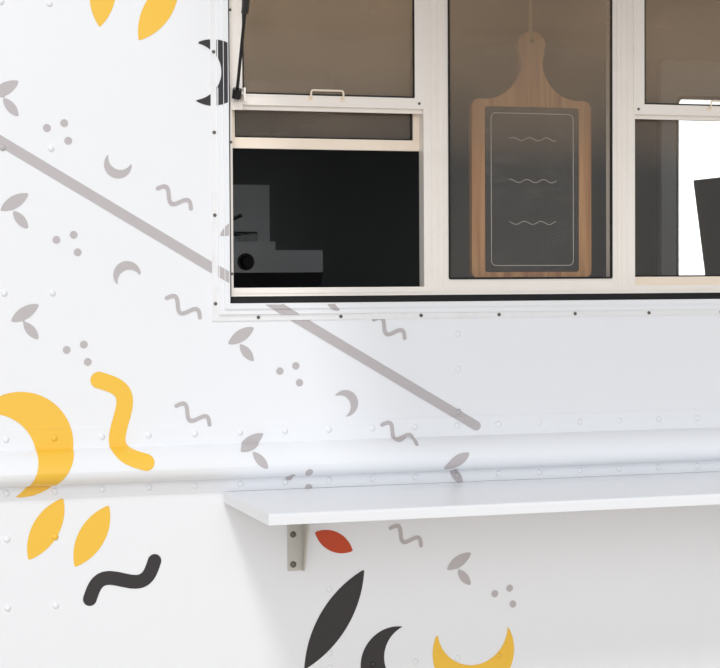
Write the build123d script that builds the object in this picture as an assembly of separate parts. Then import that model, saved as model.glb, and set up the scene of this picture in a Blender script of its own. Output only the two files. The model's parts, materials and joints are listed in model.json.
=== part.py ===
from build123d import *
from math import atan2, cos, degrees, radians, sin
import os

# A walk-in step-van food truck, in millimetres. +X runs to the front bumper, +Y to the
# street (driver's) side, +Z up. The serving side faces -Y. Every piece is modelled about
# the truck's own centre plane, and main() then moves the lot so that the origin lies on
# the ground in the middle of the overall box, open hatch and mirrors included.

# Overall body
LENGTH = 7200
HALF_W = 1180
WALL = 40
SKIRT_Z = 500
EAVES_Z = 2740
ROOF_RISE = 190
ROOF_EDGE_R = 110
GUTTER_OUT = 16
STEP_REACH = 140
BUMPER_REACH = 180
BODY_REAR = -LENGTH / 2 + STEP_REACH
SIDE_REAR = BODY_REAR + WALL
INNER_W = HALF_W - WALL
NOSE_X = LENGTH / 2 - BUMPER_REACH
REAR_CORNER_R = 36

# Floor
FLOOR_TOP = 860
FLOOR_T = 60
SILL_H = 40
SILL_W = 60
FLOOR_CLEAR = 5

# Running gear
WHEELBASE = 4500
FRONT_OVERHANG = 820
FRONT_AXLE = NOSE_X - FRONT_OVERHANG
REAR_AXLE = FRONT_AXLE - WHEELBASE
TYRE_R = 405.5
TYRE_W = 226
RIM_R = 247.7
AXLE_Z = TYRE_R
FRONT_WHEEL_Y = HALF_W - 200
KINGPIN_Y = FRONT_WHEEL_Y - 115
DUAL_PITCH = 275
DUAL_INNER_Y = HALF_W - DUAL_PITCH - 155
ARCH_R = 500
ARCH_FLANGE = 34
ARCH_PROUD = 7
HOUSE_GAP = 20
HOUSE_T = 8
HOUSE_TOP = 970
SEAT_GAP = 0.3
SPINDLE_R = 35
RUN_CLEAR = 0.05

# Chassis frame
RAIL_Y = 430
RAIL_TOP = FLOOR_TOP - FLOOR_T - SILL_H
RAIL_DEPTH = 200
RAIL_FLANGE = 70
RAIL_WEB = 8
RAIL_REAR = BODY_REAR + 20
RAIL_FRONT = NOSE_X - 60
SPRING_Y = RAIL_Y + 65
SPRING_W = 70
SPRING_HALF = 600
SPRING_RISE = 75
LEAF_T = 12
LEAVES = 3
EYE_R = 24
EYE_PIN_R = 12

# Serving window, measured on the photograph from 101.6 mm rivet spacings
WIN_X = -150
RIM_HALF = 766.5
RIM_Z0 = 1557
RIM_Z1 = 2543
STRIP_W = 14
STRIP_T = 3
BAND_W = 24
BAND_T = 12
BAND_STEP = 4
LIP_T = 4
RECESS = 28
UNIT_GAP_X = 12
UNIT_GAP_Z = 15
FRAME_DEPTH = 36
SILL_RISE = 19
JAMB = 5
HEAD = 30
MULLION = 60
MULLION_X = 0.306 * RIM_HALF
RIDGES = (-11, 5.5, 16)
STILE = 23
STILE_OVER = 5
LIGHT_RAIL = 17
MEETING_Z = 2033
SASH_RAIL = 24
SASH_STILE = 18
SASH_LIFT = 315
TRACK_LAP = 4
PANE_T = 5

# Belt rail: a pressed moulding with a riveted flange above and below its roll
BELT_TOP = 1332
BELT_BOTTOM = 1183
FLANGE_T = 2
ROLL_TOP = 1288
ROLL_BOTTOM = 1214
ROLL_OUT = 45

# Hatch
HATCH_T = 30
HATCH_SEAT = 16
HATCH_GAP = 5
HATCH_OPEN = 80
HEADER_H = 45
HATCH_HINGES = [n * (RIM_HALF - 66.5) / 2 for n in (-2, -1, 0, 1, 2)]
STRUT_ARM = 150
STRUT_INSET = 20
STRUT_W = -6
STRUT_Z = 2055
STRUT_X = RIM_HALF - 60.5
TUBE_R = 8
ROD_R = 3.5
TUBE_L = 275
ROD_IN = 140
EYE_H = 21
EYE_W = 20

# Exposed hinges
PIN_LIFT = 8
KNUCKLE_R = 7
LEAF_PLATE = 4
LEAF_REACH = 34
KNUCKLE_L = 45
KNUCKLE_GAP = 0.4

# Shelf
SHELF_HALF = RIM_HALF - 21.5
SHELF_Z = 1182
SHELF_T = 23
SHELF_OUT = 400
SHELF_BACK = 6
SHELF_PIVOT_W = 45
SHELF_PIVOT_Z = 1128
SHELF_ARM_X = (-SHELF_HALF + 163, SHELF_HALF - 163)

# Cab and its sliding doors
DOOR_WAY = 680
DOOR_X0 = NOSE_X - 2080
DOOR_X1 = DOOR_X0 + DOOR_WAY
DOOR_TOP = 2450
DOOR_T = 30
DOOR_GAP = 5
DOOR_LAP = 20
TONGUE_T = 8
TONGUE_H = 16
TRACK_CLEAR = 0.5
TRACK_W = 26
TRACK_H = 30
SCREEN_TOP = (NOSE_X - 580, EAVES_Z)
SCREEN_FOOT = (NOSE_X - 360, 1440)
HOOD_FRONT = (NOSE_X - 80, 1300)
NOSE_TOP = (NOSE_X, 1140)
NOSE_LOW = 700
NOSE_R = 120
SCREEN_Z0 = 1540
SCREEN_Z1 = 2600
SCREEN_HALF = HALF_W - 150
SCREEN_POST = 30
HOOD_X0 = SCREEN_FOOT[0] + 32
HOOD_X1 = HOOD_FRONT[0] - 14
HOOD_HALF = 800
HOOD_T = 28
HOOD_HINGES = (-HOOD_HALF + 300, HOOD_HALF - 300)
GRILLE_HALF = 420
GRILLE_Z0 = 740
GRILLE_Z1 = 1070
LAMP_Y = 680
LAMP_Z = 900
LAMP_R = 92

# Kitchen and driver's seat
COUNTER_Z = 1600
COOK_X0 = SIDE_REAR + 820
COOK_L = 2400
COOK_Y = INNER_W - 670
COOK_TOP = 1740
FAN_X = COOK_X0 + 1200
SEAT_Y = INNER_W - 565
BACK_SEAT = Pos(DOOR_X0 + 60, SEAT_Y, 1669) * Rot(0, -8, 0)

# Rear wall and its doors
REAR_HALF = 620
REAR_TOP = 2470
REAR_DOOR_T = 32
LIGHT_HALF = 200
LIGHT_Z0 = 1750
LIGHT_Z1 = 2250
REAR_HINGES = (1050, 1660, 2290)


def block(x0, x1, y0, y1, z0, z1):
    """A box between two corners."""
    size = Box(abs(x1 - x0), abs(y1 - y0), abs(z1 - z0))
    return Pos((x0 + x1) / 2, (y0 + y1) / 2, (z0 + z1) / 2) * size


def bar(start, end, radius):
    """A round bar between two points."""
    run = Vector(*end) - Vector(*start)
    seat = Plane(origin=start, z_dir=run)
    base = (Align.CENTER, Align.CENTER, Align.MIN)
    return seat * Cylinder(radius, run.length, align=base)


def across(points, y0, y1):
    """A side outline of (x, z) points, carried from y0 to y1."""
    seat = Plane(origin=(0, y1, 0), x_dir=(1, 0, 0), z_dir=(0, -1, 0))
    face = seat * make_face(Polyline(*points, close=True))
    return extrude(face, amount=y1 - y0, dir=(0, -1, 0))


def along(outline, x0, x1):
    """A cross-section, either (y, z) points or a closed curve, carried from x0 to x1."""
    seat = Plane(origin=(x0, 0, 0), x_dir=(0, 1, 0), z_dir=(1, 0, 0))
    curve = Polyline(*outline, close=True) if isinstance(outline, list) else outline
    return extrude(seat * make_face(curve), amount=x1 - x0, dir=(1, 0, 0))


def lathe(points, y=0.0, x=0.0, z=0.0):
    """A ring or disc turned about a line along Y, from (radius, y) points."""
    turned = revolve(make_face(Polyline(*points, close=True)), Axis.Y, 360)
    return Pos(x, y, z) * turned


def crown(radius, low, high):
    """A dome's arc from (radius, low) to (0, high), level where it meets the axis."""
    centre = (high ** 2 - low ** 2 - radius ** 2) / (2 * (high - low))
    middle = centre + ((high - centre) ** 2 - radius ** 2 / 4) ** 0.5
    return ThreePointArc((radius, low), (radius / 2, middle), (0, high))


def both_sides(shape):
    """The shape and its mirror image across the truck's centre plane."""
    return [shape, mirror(shape, about=Plane.XZ)]


def fuse(shapes):
    """One body from several that overlap or share faces."""
    first, *rest = shapes
    return first.fuse(*rest).clean() if rest else first


def frame_ring(half_w, z0, z1, width, y0, y1, x_mid=WIN_X):
    """An upright rectangular ring, as wide as width all round."""
    outer = block(x_mid - half_w, x_mid + half_w, y0, y1, z0, z1)
    hole = block(x_mid - half_w + width, x_mid + half_w - width,
                 y0 - 1, y1 + 1, z0 + width, z1 - width)
    return outer - hole


def hinge_half(seat, spans, reach):
    """Half of an exposed hinge. The seat's Y axis is the pin's line and its Z axis points
    away from the panel; each span is a knuckle with its leaf, which reaches to one side."""
    halves = []
    for start, end in spans:
        knuckle = bar((0, start, PIN_LIFT), (0, end, PIN_LIFT), KNUCKLE_R)
        leaf = block(0, reach, start, end, 0, LEAF_PLATE)
        halves.append(seat * (knuckle + leaf))
    return halves


def knuckle_spans(centres, side):
    """The spans of the fixed (side 0) or moving (side 1) knuckles of hinges at centres."""
    step = (KNUCKLE_L + KNUCKLE_GAP) * side
    return [(c - KNUCKLE_L + step, c + step) for c in centres]


# Chassis

ENGINE_X0 = FRONT_AXLE - 270
ENGINE_TOP = 1120
GEARBOX_X = FRONT_AXLE - 800
SHAFT_Z = 520
MEMBER_W = 54
MEMBER_T = 8
SPRING_BAY = 650


def spread(first, last, count):
    """Evenly spaced places from first to last, both included."""
    return [first + (last - first) * n / (count - 1) for n in range(count)]


CROSSMEMBERS = [RAIL_REAR + 80, REAR_AXLE - SPRING_BAY,
                *spread(REAR_AXLE + SPRING_BAY, GEARBOX_X - 180, 4), RAIL_FRONT - 110]
SILLS = [SIDE_REAR + 120, REAR_AXLE - ARCH_R - 160,
         *spread(REAR_AXLE + ARCH_R + 160, DOOR_X0 - 160, 5), DOOR_X1 - 120]


def hanger(x, z):
    """A spring hanger on the outside of a rail, with the pin that the spring's eye turns on."""
    plate = across([(x - 45, RAIL_TOP - 10), (x + 45, RAIL_TOP - 10),
                    (x + 30, z - 30), (x - 30, z - 30)], RAIL_Y, RAIL_Y + 20)
    pin = bar((x, RAIL_Y + 20, z), (x, SPRING_Y + SPRING_W / 2 + 8, z), EYE_PIN_R)
    return plate + pin


def spring_eye_z(axle_x):
    """The height of a spring's eyes above the ground."""
    return spring_seat_z(axle_x) + LEAVES * LEAF_T / 2 + SPRING_RISE


def spring_seat_z(axle_x):
    """The height of the axle's pad, under the spring."""
    return AXLE_Z + (45 if axle_x == FRONT_AXLE else 60)


def crossmember(x):
    """A channel between the rails, with a foot at each end that bolts to the rail's web."""
    low, high = RAIL_TOP - RAIL_DEPTH + 40, RAIL_TOP - 30
    reach = RAIL_Y - RAIL_WEB - SEAT_GAP
    solid = block(x, x + MEMBER_W, -reach, reach, low, high)
    pocket = block(x + MEMBER_T, x + MEMBER_W + 1, -reach + MEMBER_T, reach - MEMBER_T,
                   low + MEMBER_T, high - MEMBER_T)
    return solid - pocket


def chassis_frame():
    """Two channel rails with their spring hangers, and the crossmembers bolted between them."""
    low = RAIL_TOP - RAIL_DEPTH
    rail = along([(RAIL_Y - RAIL_FLANGE, low), (RAIL_Y, low), (RAIL_Y, RAIL_TOP),
                  (RAIL_Y - RAIL_FLANGE, RAIL_TOP), (RAIL_Y - RAIL_FLANGE, RAIL_TOP - RAIL_WEB),
                  (RAIL_Y - RAIL_WEB, RAIL_TOP - RAIL_WEB), (RAIL_Y - RAIL_WEB, low + RAIL_WEB),
                  (RAIL_Y - RAIL_FLANGE, low + RAIL_WEB)], RAIL_REAR, RAIL_FRONT)
    hangers = [hanger(axle + end, spring_eye_z(axle))
               for axle in (FRONT_AXLE, REAR_AXLE) for end in (-SPRING_HALF, SPRING_HALF)]
    return both_sides(fuse([rail, *hangers])) + [crossmember(x) for x in CROSSMEMBERS]


def spring_pair(axle_x):
    """A leaf spring on each side: a bowed main leaf with rolled eyes and shorter leaves."""
    seat = spring_seat_z(axle_x)
    y0, y1 = SPRING_Y - SPRING_W / 2, SPRING_Y + SPRING_W / 2
    leaves = []
    for n in range(LEAVES):
        half = SPRING_HALF * (0.45 + 0.55 * n / (LEAVES - 1))
        rise = SPRING_RISE * (half / SPRING_HALF) ** 2
        low = seat + n * LEAF_T
        under = ThreePointArc((axle_x - half, low + rise), (axle_x, low), (axle_x + half, low + rise))
        over = ThreePointArc((axle_x - half, low + rise + LEAF_T), (axle_x, low + LEAF_T),
                             (axle_x + half, low + rise + LEAF_T))
        ends = [Line(under @ 0, over @ 0), Line(under @ 1, over @ 1)]
        face = make_face(Curve() + [under, over] + ends)
        view = Plane(origin=(0, y1, 0), x_dir=(1, 0, 0), z_dir=(0, -1, 0))
        leaves.append(extrude(view * face, amount=SPRING_W, dir=(0, -1, 0)))
    eye_z = spring_eye_z(axle_x)
    for end in (-SPRING_HALF, SPRING_HALF):
        eye = bar((axle_x + end, y0, eye_z), (axle_x + end, y1, eye_z), EYE_R)
        leaves.append(eye)
    pack = fuse(leaves)
    for end in (-SPRING_HALF, SPRING_HALF):
        bore = bar((axle_x + end, y0 - 1, eye_z), (axle_x + end, y1 + 1, eye_z),
                   EYE_PIN_R + RUN_CLEAR)
        pack -= bore
    return both_sides(pack)


def front_axle():
    """A dropped I-beam with a spring pad and a kingpin boss at each end."""
    half = [(0, 290), (430, 290), (560, 365), (KINGPIN_Y, 365),
            (KINGPIN_Y, AXLE_Z + 40), (560, AXLE_Z + 40), (540, spring_seat_z(FRONT_AXLE)),
            (450, spring_seat_z(FRONT_AXLE)), (400, 370), (0, 370)]
    side = along(half, FRONT_AXLE - 32, FRONT_AXLE + 32)
    pocket = along([(0, 305), (400, 305), (410, 355), (0, 355)], FRONT_AXLE + 12, FRONT_AXLE + 40)
    pocket_back = mirror(pocket, about=Plane(origin=(FRONT_AXLE, 0, 0), z_dir=(1, 0, 0)))
    side = side - pocket - pocket_back
    boss = bar((FRONT_AXLE, KINGPIN_Y, 365), (FRONT_AXLE, KINGPIN_Y, AXLE_Z + 40), 38)
    hole = bar((FRONT_AXLE, KINGPIN_Y, 300), (FRONT_AXLE, KINGPIN_Y, 500), 18 + RUN_CLEAR)
    side = fuse([side, boss]) - hole
    return fuse(both_sides(side))


def knuckle(side):
    """A steering knuckle: kingpin, fork, spindle and brake backing plate."""
    x, y = FRONT_AXLE, KINGPIN_Y
    low, high = 365 - 0.5, AXLE_Z + 40 + 0.5
    pin = bar((x, y, low - 30), (x, y, high + 30), 18)
    ears = [block(x - 38, x + 38, y - 30, y + 55, high, high + 30),
            block(x - 38, x + 38, y - 30, y + 55, low - 30, low)]
    post = block(x - 38, x + 38, y + 42, y + 55, low - 30, high + 30)
    spindle = bar((x, y + 50, AXLE_Z), (x, FRONT_WHEEL_Y + 95, AXLE_Z), SPINDLE_R)
    plate = bar((x, y + 45, AXLE_Z), (x, y + 55, AXLE_Z), 175)
    body = fuse([pin, *ears, post, spindle, plate])
    return body if side > 0 else mirror(body, about=Plane.XZ)


def rear_axle():
    """A tubular axle with its differential housing, spring pads and spindles."""
    reach, tip = DUAL_INNER_Y - 130, DUAL_INNER_Y + 330
    tube = bar((REAR_AXLE, -reach, AXLE_Z), (REAR_AXLE, reach, AXLE_Z), 55)
    bowl = lathe([(0, -170), (90, -150), (160, -80), (175, 0), (160, 80), (90, 150), (0, 170)],
                 x=REAR_AXLE, z=AXLE_Z)
    nose = bar((REAR_AXLE, 0, AXLE_Z), (REAR_AXLE + 290, 0, AXLE_Z), 62)
    pads = both_sides(block(REAR_AXLE - 60, REAR_AXLE + 60, SPRING_Y - 42, SPRING_Y + 42,
                            AXLE_Z + 10, spring_seat_z(REAR_AXLE)))
    stubs = both_sides(bar((REAR_AXLE, reach - 20, AXLE_Z), (REAR_AXLE, tip, AXLE_Z), SPINDLE_R))
    return fuse([tube, bowl, nose, *pads, *stubs])


def propshaft():
    """The propeller shaft from the gearbox to the axle's nose, with a joint at each end."""
    front, back = (GEARBOX_X - 20, 0, SHAFT_Z), (REAR_AXLE + 310, 0, AXLE_Z)
    shaft = bar(front, back, 40)
    forks = [bar((GEARBOX_X, 0, SHAFT_Z), (GEARBOX_X - 75, 0, SHAFT_Z), 58),
             bar((REAR_AXLE + 290, 0, AXLE_Z), (REAR_AXLE + 350, 0, AXLE_Z), 58)]
    return fuse([shaft, *forks])


def engine_block():
    """The engine as a plain mass on two mounts over the rails, and the gearbox bolted behind it."""
    engine = block(ENGINE_X0, ENGINE_X0 + 800, -300, 300, SHAFT_Z, ENGINE_TOP)
    gearbox = block(GEARBOX_X, ENGINE_X0 - SEAT_GAP, -170, 170, SHAFT_Z - 80, 720)
    mounts = both_sides(block(FRONT_AXLE + 100, FRONT_AXLE + 200, 300, RAIL_Y - 15, RAIL_TOP, RAIL_TOP + 40))
    return [fuse([engine, *mounts]), gearbox]


def radiator():
    """The radiator block behind the grille, on the front crossmember."""
    seat = CROSSMEMBERS[-1]
    return block(seat, seat + 50, -330, 330, RAIL_TOP - 30, ENGINE_TOP)


def fuel_tank():
    """A rounded steel tank hung outside the street-side rail."""
    x0, x1 = REAR_AXLE + 1280, REAR_AXLE + 2380
    inner, outer, low = RAIL_Y + 40, INNER_W - 130, 470
    shell = block(x0, x1, inner, outer, low, RAIL_TOP - 30)
    shell = fillet(shell.edges().filter_by(Axis.X), 60)
    ears = [block(x - 25, x + 25, RAIL_Y, inner + 30, 640, 700) for x in (x0 + 170, x1 - 170)]
    straps = []
    for x in (x0 + 170, x1 - 170):
        band = block(x - 22, x + 22, inner - 3, outer + 3, low - 3, RAIL_TOP - 27)
        straps.append(fillet(band.edges().filter_by(Axis.X), 63))
    return fuse([shell, *ears, *straps])


def exhaust_system():
    """Downpipe, silencer and side outlet ahead of the rear wheel, on two hangers."""
    y, z = -INNER_W + 500, 505
    tail, box_x = REAR_AXLE + 720, REAR_AXLE + 1340
    path = FilletPolyline((ENGINE_X0, -250, z + 80), (ENGINE_X0 - 200, -250, z + 80), (ENGINE_X0 - 400, -250, z),
                          (ENGINE_X0 - 680, y, z), (tail + 130, y, z), (tail, -INNER_W + 40, z - 35), radius=90)
    start = Plane(origin=path @ 0, z_dir=path % 0)
    pipe = sweep(start * Circle(28), path=path)
    silencer = lathe([(0, 0), (70, 0), (105, 22), (105, 858), (70, 880), (0, 880)])
    silencer = Pos(box_x, y, z) * (Rot(0, 0, -90) * silencer)
    stays = [block(x - 15, x + 15, y - 6, y + 6, z + 95, FLOOR_TOP - FLOOR_T)
             for x in (box_x + 120, box_x + 760)]
    flange = block(ENGINE_X0 - 12, ENGINE_X0, -300, -200, z + 35, z + 125)
    return fuse([pipe, silencer, *stays, flange])


# Wheels

def tyre(y):
    """A tyre with rounded shoulders and bulging side walls, centred at y on its axle."""
    half = TYRE_W / 2
    bead, toe, wall, shoulder = (RIM_R + 0.3, half - 29), (RIM_R + 14, half - 27), (335, half), (392, half - 20)
    curve = Curve() + [
        Line((bead[0], -bead[1]), bead),
        Line(bead, toe),
        ThreePointArc(toe, (290, half - 10), wall),
        ThreePointArc(wall, (372, half - 5), shoulder),
        ThreePointArc(shoulder, (TYRE_R, 0), (shoulder[0], -shoulder[1])),
        ThreePointArc((shoulder[0], -shoulder[1]), (372, -half + 5), (wall[0], -wall[1])),
        ThreePointArc((wall[0], -wall[1]), (290, -half + 10), (toe[0], -toe[1])),
        Line((toe[0], -toe[1]), (bead[0], -bead[1]))]
    return Pos(0, y, 0) * revolve(make_face(curve), Axis.Y, 360)


def rim(disc_y, hub_out, hub_in):
    """A steel disc wheel about y 0: barrel with lips, dished disc with hand holes and hub."""
    barrel = lathe([(RIM_R - 12, -100), (RIM_R, -100), (RIM_R, 100), (RIM_R - 12, 100)])
    lips = [lathe([(RIM_R - 6, s * 90), (RIM_R + 12, s * 90), (RIM_R + 12, s * 97),
                   (RIM_R - 6, s * 100)]) for s in (-1, 1)]
    root = min(disc_y - 26, 64)
    disc = lathe([(60, disc_y), (150, disc_y), (RIM_R - 6, root), (RIM_R - 6, root - 12),
                  (150, disc_y - 12), (60, disc_y - 12)])
    for n in range(8):
        turn = radians(45 * n + 22.5)
        at = (185 * cos(turn), 185 * sin(turn))
        disc -= bar((at[0], disc_y - 60, at[1]), (at[0], disc_y + 60, at[1]), 24)
    hub = bar((0, hub_in, 0), (0, hub_out, 0), 70)
    return [barrel, *lips, disc, hub]


def front_rim():
    """A front wheel: its disc stands near the outer lip, over a brake drum."""
    drum = lathe([(60, 30), (165, 30), (165, -58), (150, -58), (150, 18), (60, 18)])
    cap = bar((0, 130, 0), (0, 142, 0), 48)
    wheel = fuse([*rim(72, 130, -55), drum, cap])
    wheel -= bar((0, -60, 0), (0, 100, 0), SPINDLE_R + RUN_CLEAR)
    return wheel


def dual_rims():
    """Two rims back to back on one hub, with their drum, measured from the inner wheel."""
    inner = [Pos(0, 0, 0) * p for p in rim(DUAL_PITCH / 2, DUAL_PITCH + 70, -60)[:4]]
    outer = [Pos(0, DUAL_PITCH, 0) * mirror(p, about=Plane.XZ) for p in rim(DUAL_PITCH / 2, 0, 1)[:4]]
    hub = bar((0, -60, 0), (0, DUAL_PITCH + 70, 0), 80)
    cap = bar((0, DUAL_PITCH + 70, 0), (0, DUAL_PITCH + 84, 0), 55)
    drum = lathe([(75, 85), (185, 85), (185, -50), (170, -50), (170, 70), (75, 70)])
    wheel = fuse([*inner, *outer, hub, cap, drum])
    wheel -= bar((0, -61, 0), (0, 335, 0), SPINDLE_R + RUN_CLEAR)
    return wheel


def wheel_nodes():
    """The four wheels, each a rubber node and a steel node on one axle line."""
    nodes = {}
    singles = {"front": ([tyre(0)], front_rim(), FRONT_AXLE, FRONT_WHEEL_Y)}
    singles["rear"] = ([tyre(0), tyre(DUAL_PITCH)], dual_rims(), REAR_AXLE, DUAL_INNER_Y)
    for end, (tyres, steel, x, y) in singles.items():
        seat = Pos(x, y, AXLE_Z)
        for side in ("left", "right"):
            rubber = [seat * t for t in tyres]
            metal = seat * steel
            if side == "right":
                rubber = [mirror(t, about=Plane.XZ) for t in rubber]
                metal = mirror(metal, about=Plane.XZ)
            plural = "s" if end == "rear" else ""
            nodes[f"{end}_tyre{plural}_{side}"] = rubber
            nodes[f"{end}_rim{plural}_{side}"] = [metal]
    return nodes


# Body

DECK_FRONT = DOOR_X1 + 100
DOOR_EDGE = INNER_W - DOOR_T - 3 * DOOR_GAP
STEP_INNER = INNER_W - 340
FRONT_HOUSE_Y = KINGPIN_Y - 315
REAR_HOUSE_Y = DUAL_INNER_Y - 170
COVER_HALF = FRONT_HOUSE_Y - SEAT_GAP
COVER_TOP = 1190


def floor_deck():
    """The deck on its cross sills, notched for the wheels, the steps and the sliding doors."""
    low = FLOOR_TOP - FLOOR_T
    half = INNER_W - FLOOR_CLEAR
    deck = block(SIDE_REAR, DECK_FRONT, -half, half, low, FLOOR_TOP)
    house = ARCH_R + HOUSE_GAP + SEAT_GAP
    slide_back = DOOR_X0 - DOOR_LAP - DOOR_WAY - 3 * DOOR_GAP
    cuts = []
    for s in (-1, 1):
        past = s * (HALF_W + 20)
        cuts.append(block(REAR_AXLE - house, REAR_AXLE + house, s * (REAR_HOUSE_Y - SEAT_GAP), past,
                          low - 100, FLOOR_TOP + 1))
        cuts.append(block(slide_back, DECK_FRONT + 1, s * DOOR_EDGE, past, low - 100, FLOOR_TOP + 1))
        cuts.append(block(DOOR_X0 - SEAT_GAP, DOOR_X1 + SEAT_GAP, s * (STEP_INNER - SEAT_GAP), past,
                          low - 100, FLOOR_TOP + 1))
    sills = [block(x - SILL_W / 2, x + SILL_W / 2, -half, half, RAIL_TOP, low) for x in SILLS]
    deck = fuse([deck, *sills])
    for cut in cuts:
        deck -= cut
    return deck


def wheelhouses():
    """Sheet boxes over the wheels, open below and towards the arch."""
    boxes = []
    for axle, inner in ((FRONT_AXLE, FRONT_HOUSE_Y), (REAR_AXLE, REAR_HOUSE_Y)):
        back, front = axle - ARCH_R - HOUSE_GAP, axle + ARCH_R + HOUSE_GAP
        back = DECK_FRONT + SEAT_GAP if axle == FRONT_AXLE else back
        outer = block(back, front, inner, INNER_W, FLOOR_TOP - FLOOR_T, HOUSE_TOP)
        hollow = block(back + HOUSE_T, front - HOUSE_T, inner + HOUSE_T, INNER_W + 1,
                       FLOOR_TOP - FLOOR_T - 1, HOUSE_TOP - HOUSE_T)
        boxes += both_sides(outer - hollow)
    return boxes


def step_wells():
    """A folded step tray under each cab door."""
    low = SKIRT_Z - 20
    tray = block(DOOR_X0, DOOR_X1, STEP_INNER, DOOR_EDGE, low, FLOOR_TOP)
    tray -= block(DOOR_X0 + HOUSE_T, DOOR_X1 - HOUSE_T, STEP_INNER + HOUSE_T, DOOR_EDGE + 1,
                  low + HOUSE_T, FLOOR_TOP + 1)
    return both_sides(tray)


def engine_cover():
    """The cover over the engine, between the front wheelhouses."""
    x0, x1, low = DECK_FRONT + SEAT_GAP, NOSE_X - 340, FLOOR_TOP - FLOOR_T
    outer = block(x0, x1, -COVER_HALF, COVER_HALF, low, COVER_TOP)
    outer = fillet(outer.edges().filter_by(Axis.X).group_by(Axis.Z)[-1], 60)
    hollow = block(x0 + 12, x1 + 1, -COVER_HALF + 12, COVER_HALF - 12, low - 1, COVER_TOP - 12)
    return outer - hollow


def belt_profile(side):
    """The belt rail's cross-section: two flat flanges and the roll between them."""
    face = side * HALF_W
    tip, out = side * (HALF_W + ROLL_OUT), side * (HALF_W + FLANGE_T)
    return Curve() + [
        Line((face, BELT_BOTTOM), (out, BELT_BOTTOM)),
        Line((out, BELT_BOTTOM), (out, ROLL_BOTTOM)),
        ThreePointArc((out, ROLL_BOTTOM), (side * (HALF_W + 36), ROLL_BOTTOM + 6), (tip, ROLL_BOTTOM + 26)),
        ThreePointArc((tip, ROLL_BOTTOM + 26), (side * (HALF_W + 33), ROLL_TOP - 18), (out, ROLL_TOP)),
        Line((out, ROLL_TOP), (out, BELT_TOP)),
        Line((out, BELT_TOP), (face, BELT_TOP)),
        Line((face, BELT_TOP), (face, BELT_BOTTOM))]


def belt_rails():
    """The belt rails: one along each side wall and a short one on each front wing."""
    runs = ((SIDE_REAR, DOOR_X0), (DOOR_X1 + 10, NOSE_X - NOSE_R - 40))
    return [along(belt_profile(s), x0, x1) for s in (-1, 1) for x0, x1 in runs]


def arch_cutter(x, side):
    """What a wheel arch takes out of a side panel."""
    return bar((x, side * (INNER_W - 10), AXLE_Z), (x, side * (HALF_W + 10), AXLE_Z), ARCH_R)


def arch_flange(x, side):
    """The rolled flange that stands proud round a wheel arch, down to the skirt's edge."""
    ring = lathe([(ARCH_R, 0), (ARCH_R + ARCH_FLANGE, 0), (ARCH_R + ARCH_FLANGE, ARCH_PROUD - 3),
                  (ARCH_R + ARCH_FLANGE - 6, ARCH_PROUD), (ARCH_R, ARCH_PROUD)])
    ring = Pos(x, HALF_W, AXLE_Z) * ring
    ring -= block(x - ARCH_R - 99, x + ARCH_R + 99, HALF_W - 1, HALF_W + 99, -ARCH_R, SKIRT_Z)
    return ring if side > 0 else mirror(ring, about=Plane.XZ)


def grab_rail(side):
    """The upright grab rail behind a cab door, on two posts."""
    x, y, z0, z1 = DOOR_X0 - 50, HALF_W + 50, 1420, 1900
    rail = bar((x, side * y, z0), (x, side * y, z1), 12)
    posts = [bar((x, side * (HALF_W - 2), z), (x, side * y, z), 9) for z in (z0 + 24, z1 - 24)]
    pads = [bar((x, side * (HALF_W - 2), z), (x, side * (HALF_W + 4), z), 22) for z in (z0 + 24, z1 - 24)]
    return [rail, *posts, *pads]


def side_wall(side):
    """A side wall from the rear corner to the cab door, with its flanged wheel arch."""
    y0, y1 = sorted((side * INNER_W, side * HALF_W))
    wall = block(SIDE_REAR, DOOR_X0, y0, y1, SKIRT_Z, EAVES_Z)
    wall -= arch_cutter(REAR_AXLE, side)
    return fuse([wall, arch_flange(REAR_AXLE, side), *grab_rail(side)])


def serving_wall():
    """The serving side's wall, with the opening that the window unit fills."""
    cut = RIM_HALF - STRIP_W - BAND_W + LIP_T
    z0, z1 = RIM_Z0 + STRIP_W + BAND_W - LIP_T, RIM_Z1 - STRIP_W - BAND_W + LIP_T
    hole = block(WIN_X - cut, WIN_X + cut, -HALF_W - 10, -INNER_W + 10, z0, z1)
    return side_wall(-1) - hole


def street_wall():
    """The street side's wall, with the louvred vent's opening."""
    return side_wall(1) - block(*vent_span(), INNER_W - 10, HALF_W + 10, *vent_height())


def vent_span():
    """Where the vent lies along the truck."""
    return SIDE_REAR + 270, SIDE_REAR + 770


def vent_height():
    """The vent's lower and upper edge."""
    return 1450, 1850


def side_vent():
    """A louvred vent panel in the street wall."""
    x0, x1 = vent_span()
    z0, z1 = vent_height()
    frame = block(x0, x1, INNER_W, HALF_W + 6, z0, z1)
    frame -= block(x0 + 25, x1 - 25, INNER_W - 1, HALF_W + 7, z0 + 25, z1 - 25)
    pieces = [frame]
    count = 9
    pitch = (z1 - z0 - 50) / count
    for n in range(count):
        z = z0 + 25 + pitch * (n + 0.5)
        slat = along([(INNER_W + 6, z + 14), (INNER_W + 9, z + 14), (HALF_W, z - 12), (HALF_W - 3, z - 12)],
                     x0 + 20, x1 - 20)
        pieces.append(slat)
    return fuse(pieces)


def filler_cap():
    """The fuel filler's flange and cap, over the tank on the street side."""
    flange = lathe([(0, 0), (72, 0), (72, 3), (50, 5), (46, 20), (30, 24), (0, 24)])
    grip = block(-34, 34, 20, 30, -6, 6)
    return Pos(REAR_AXLE + 1700, HALF_W, 1010) * fuse([flange, grip])


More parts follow.
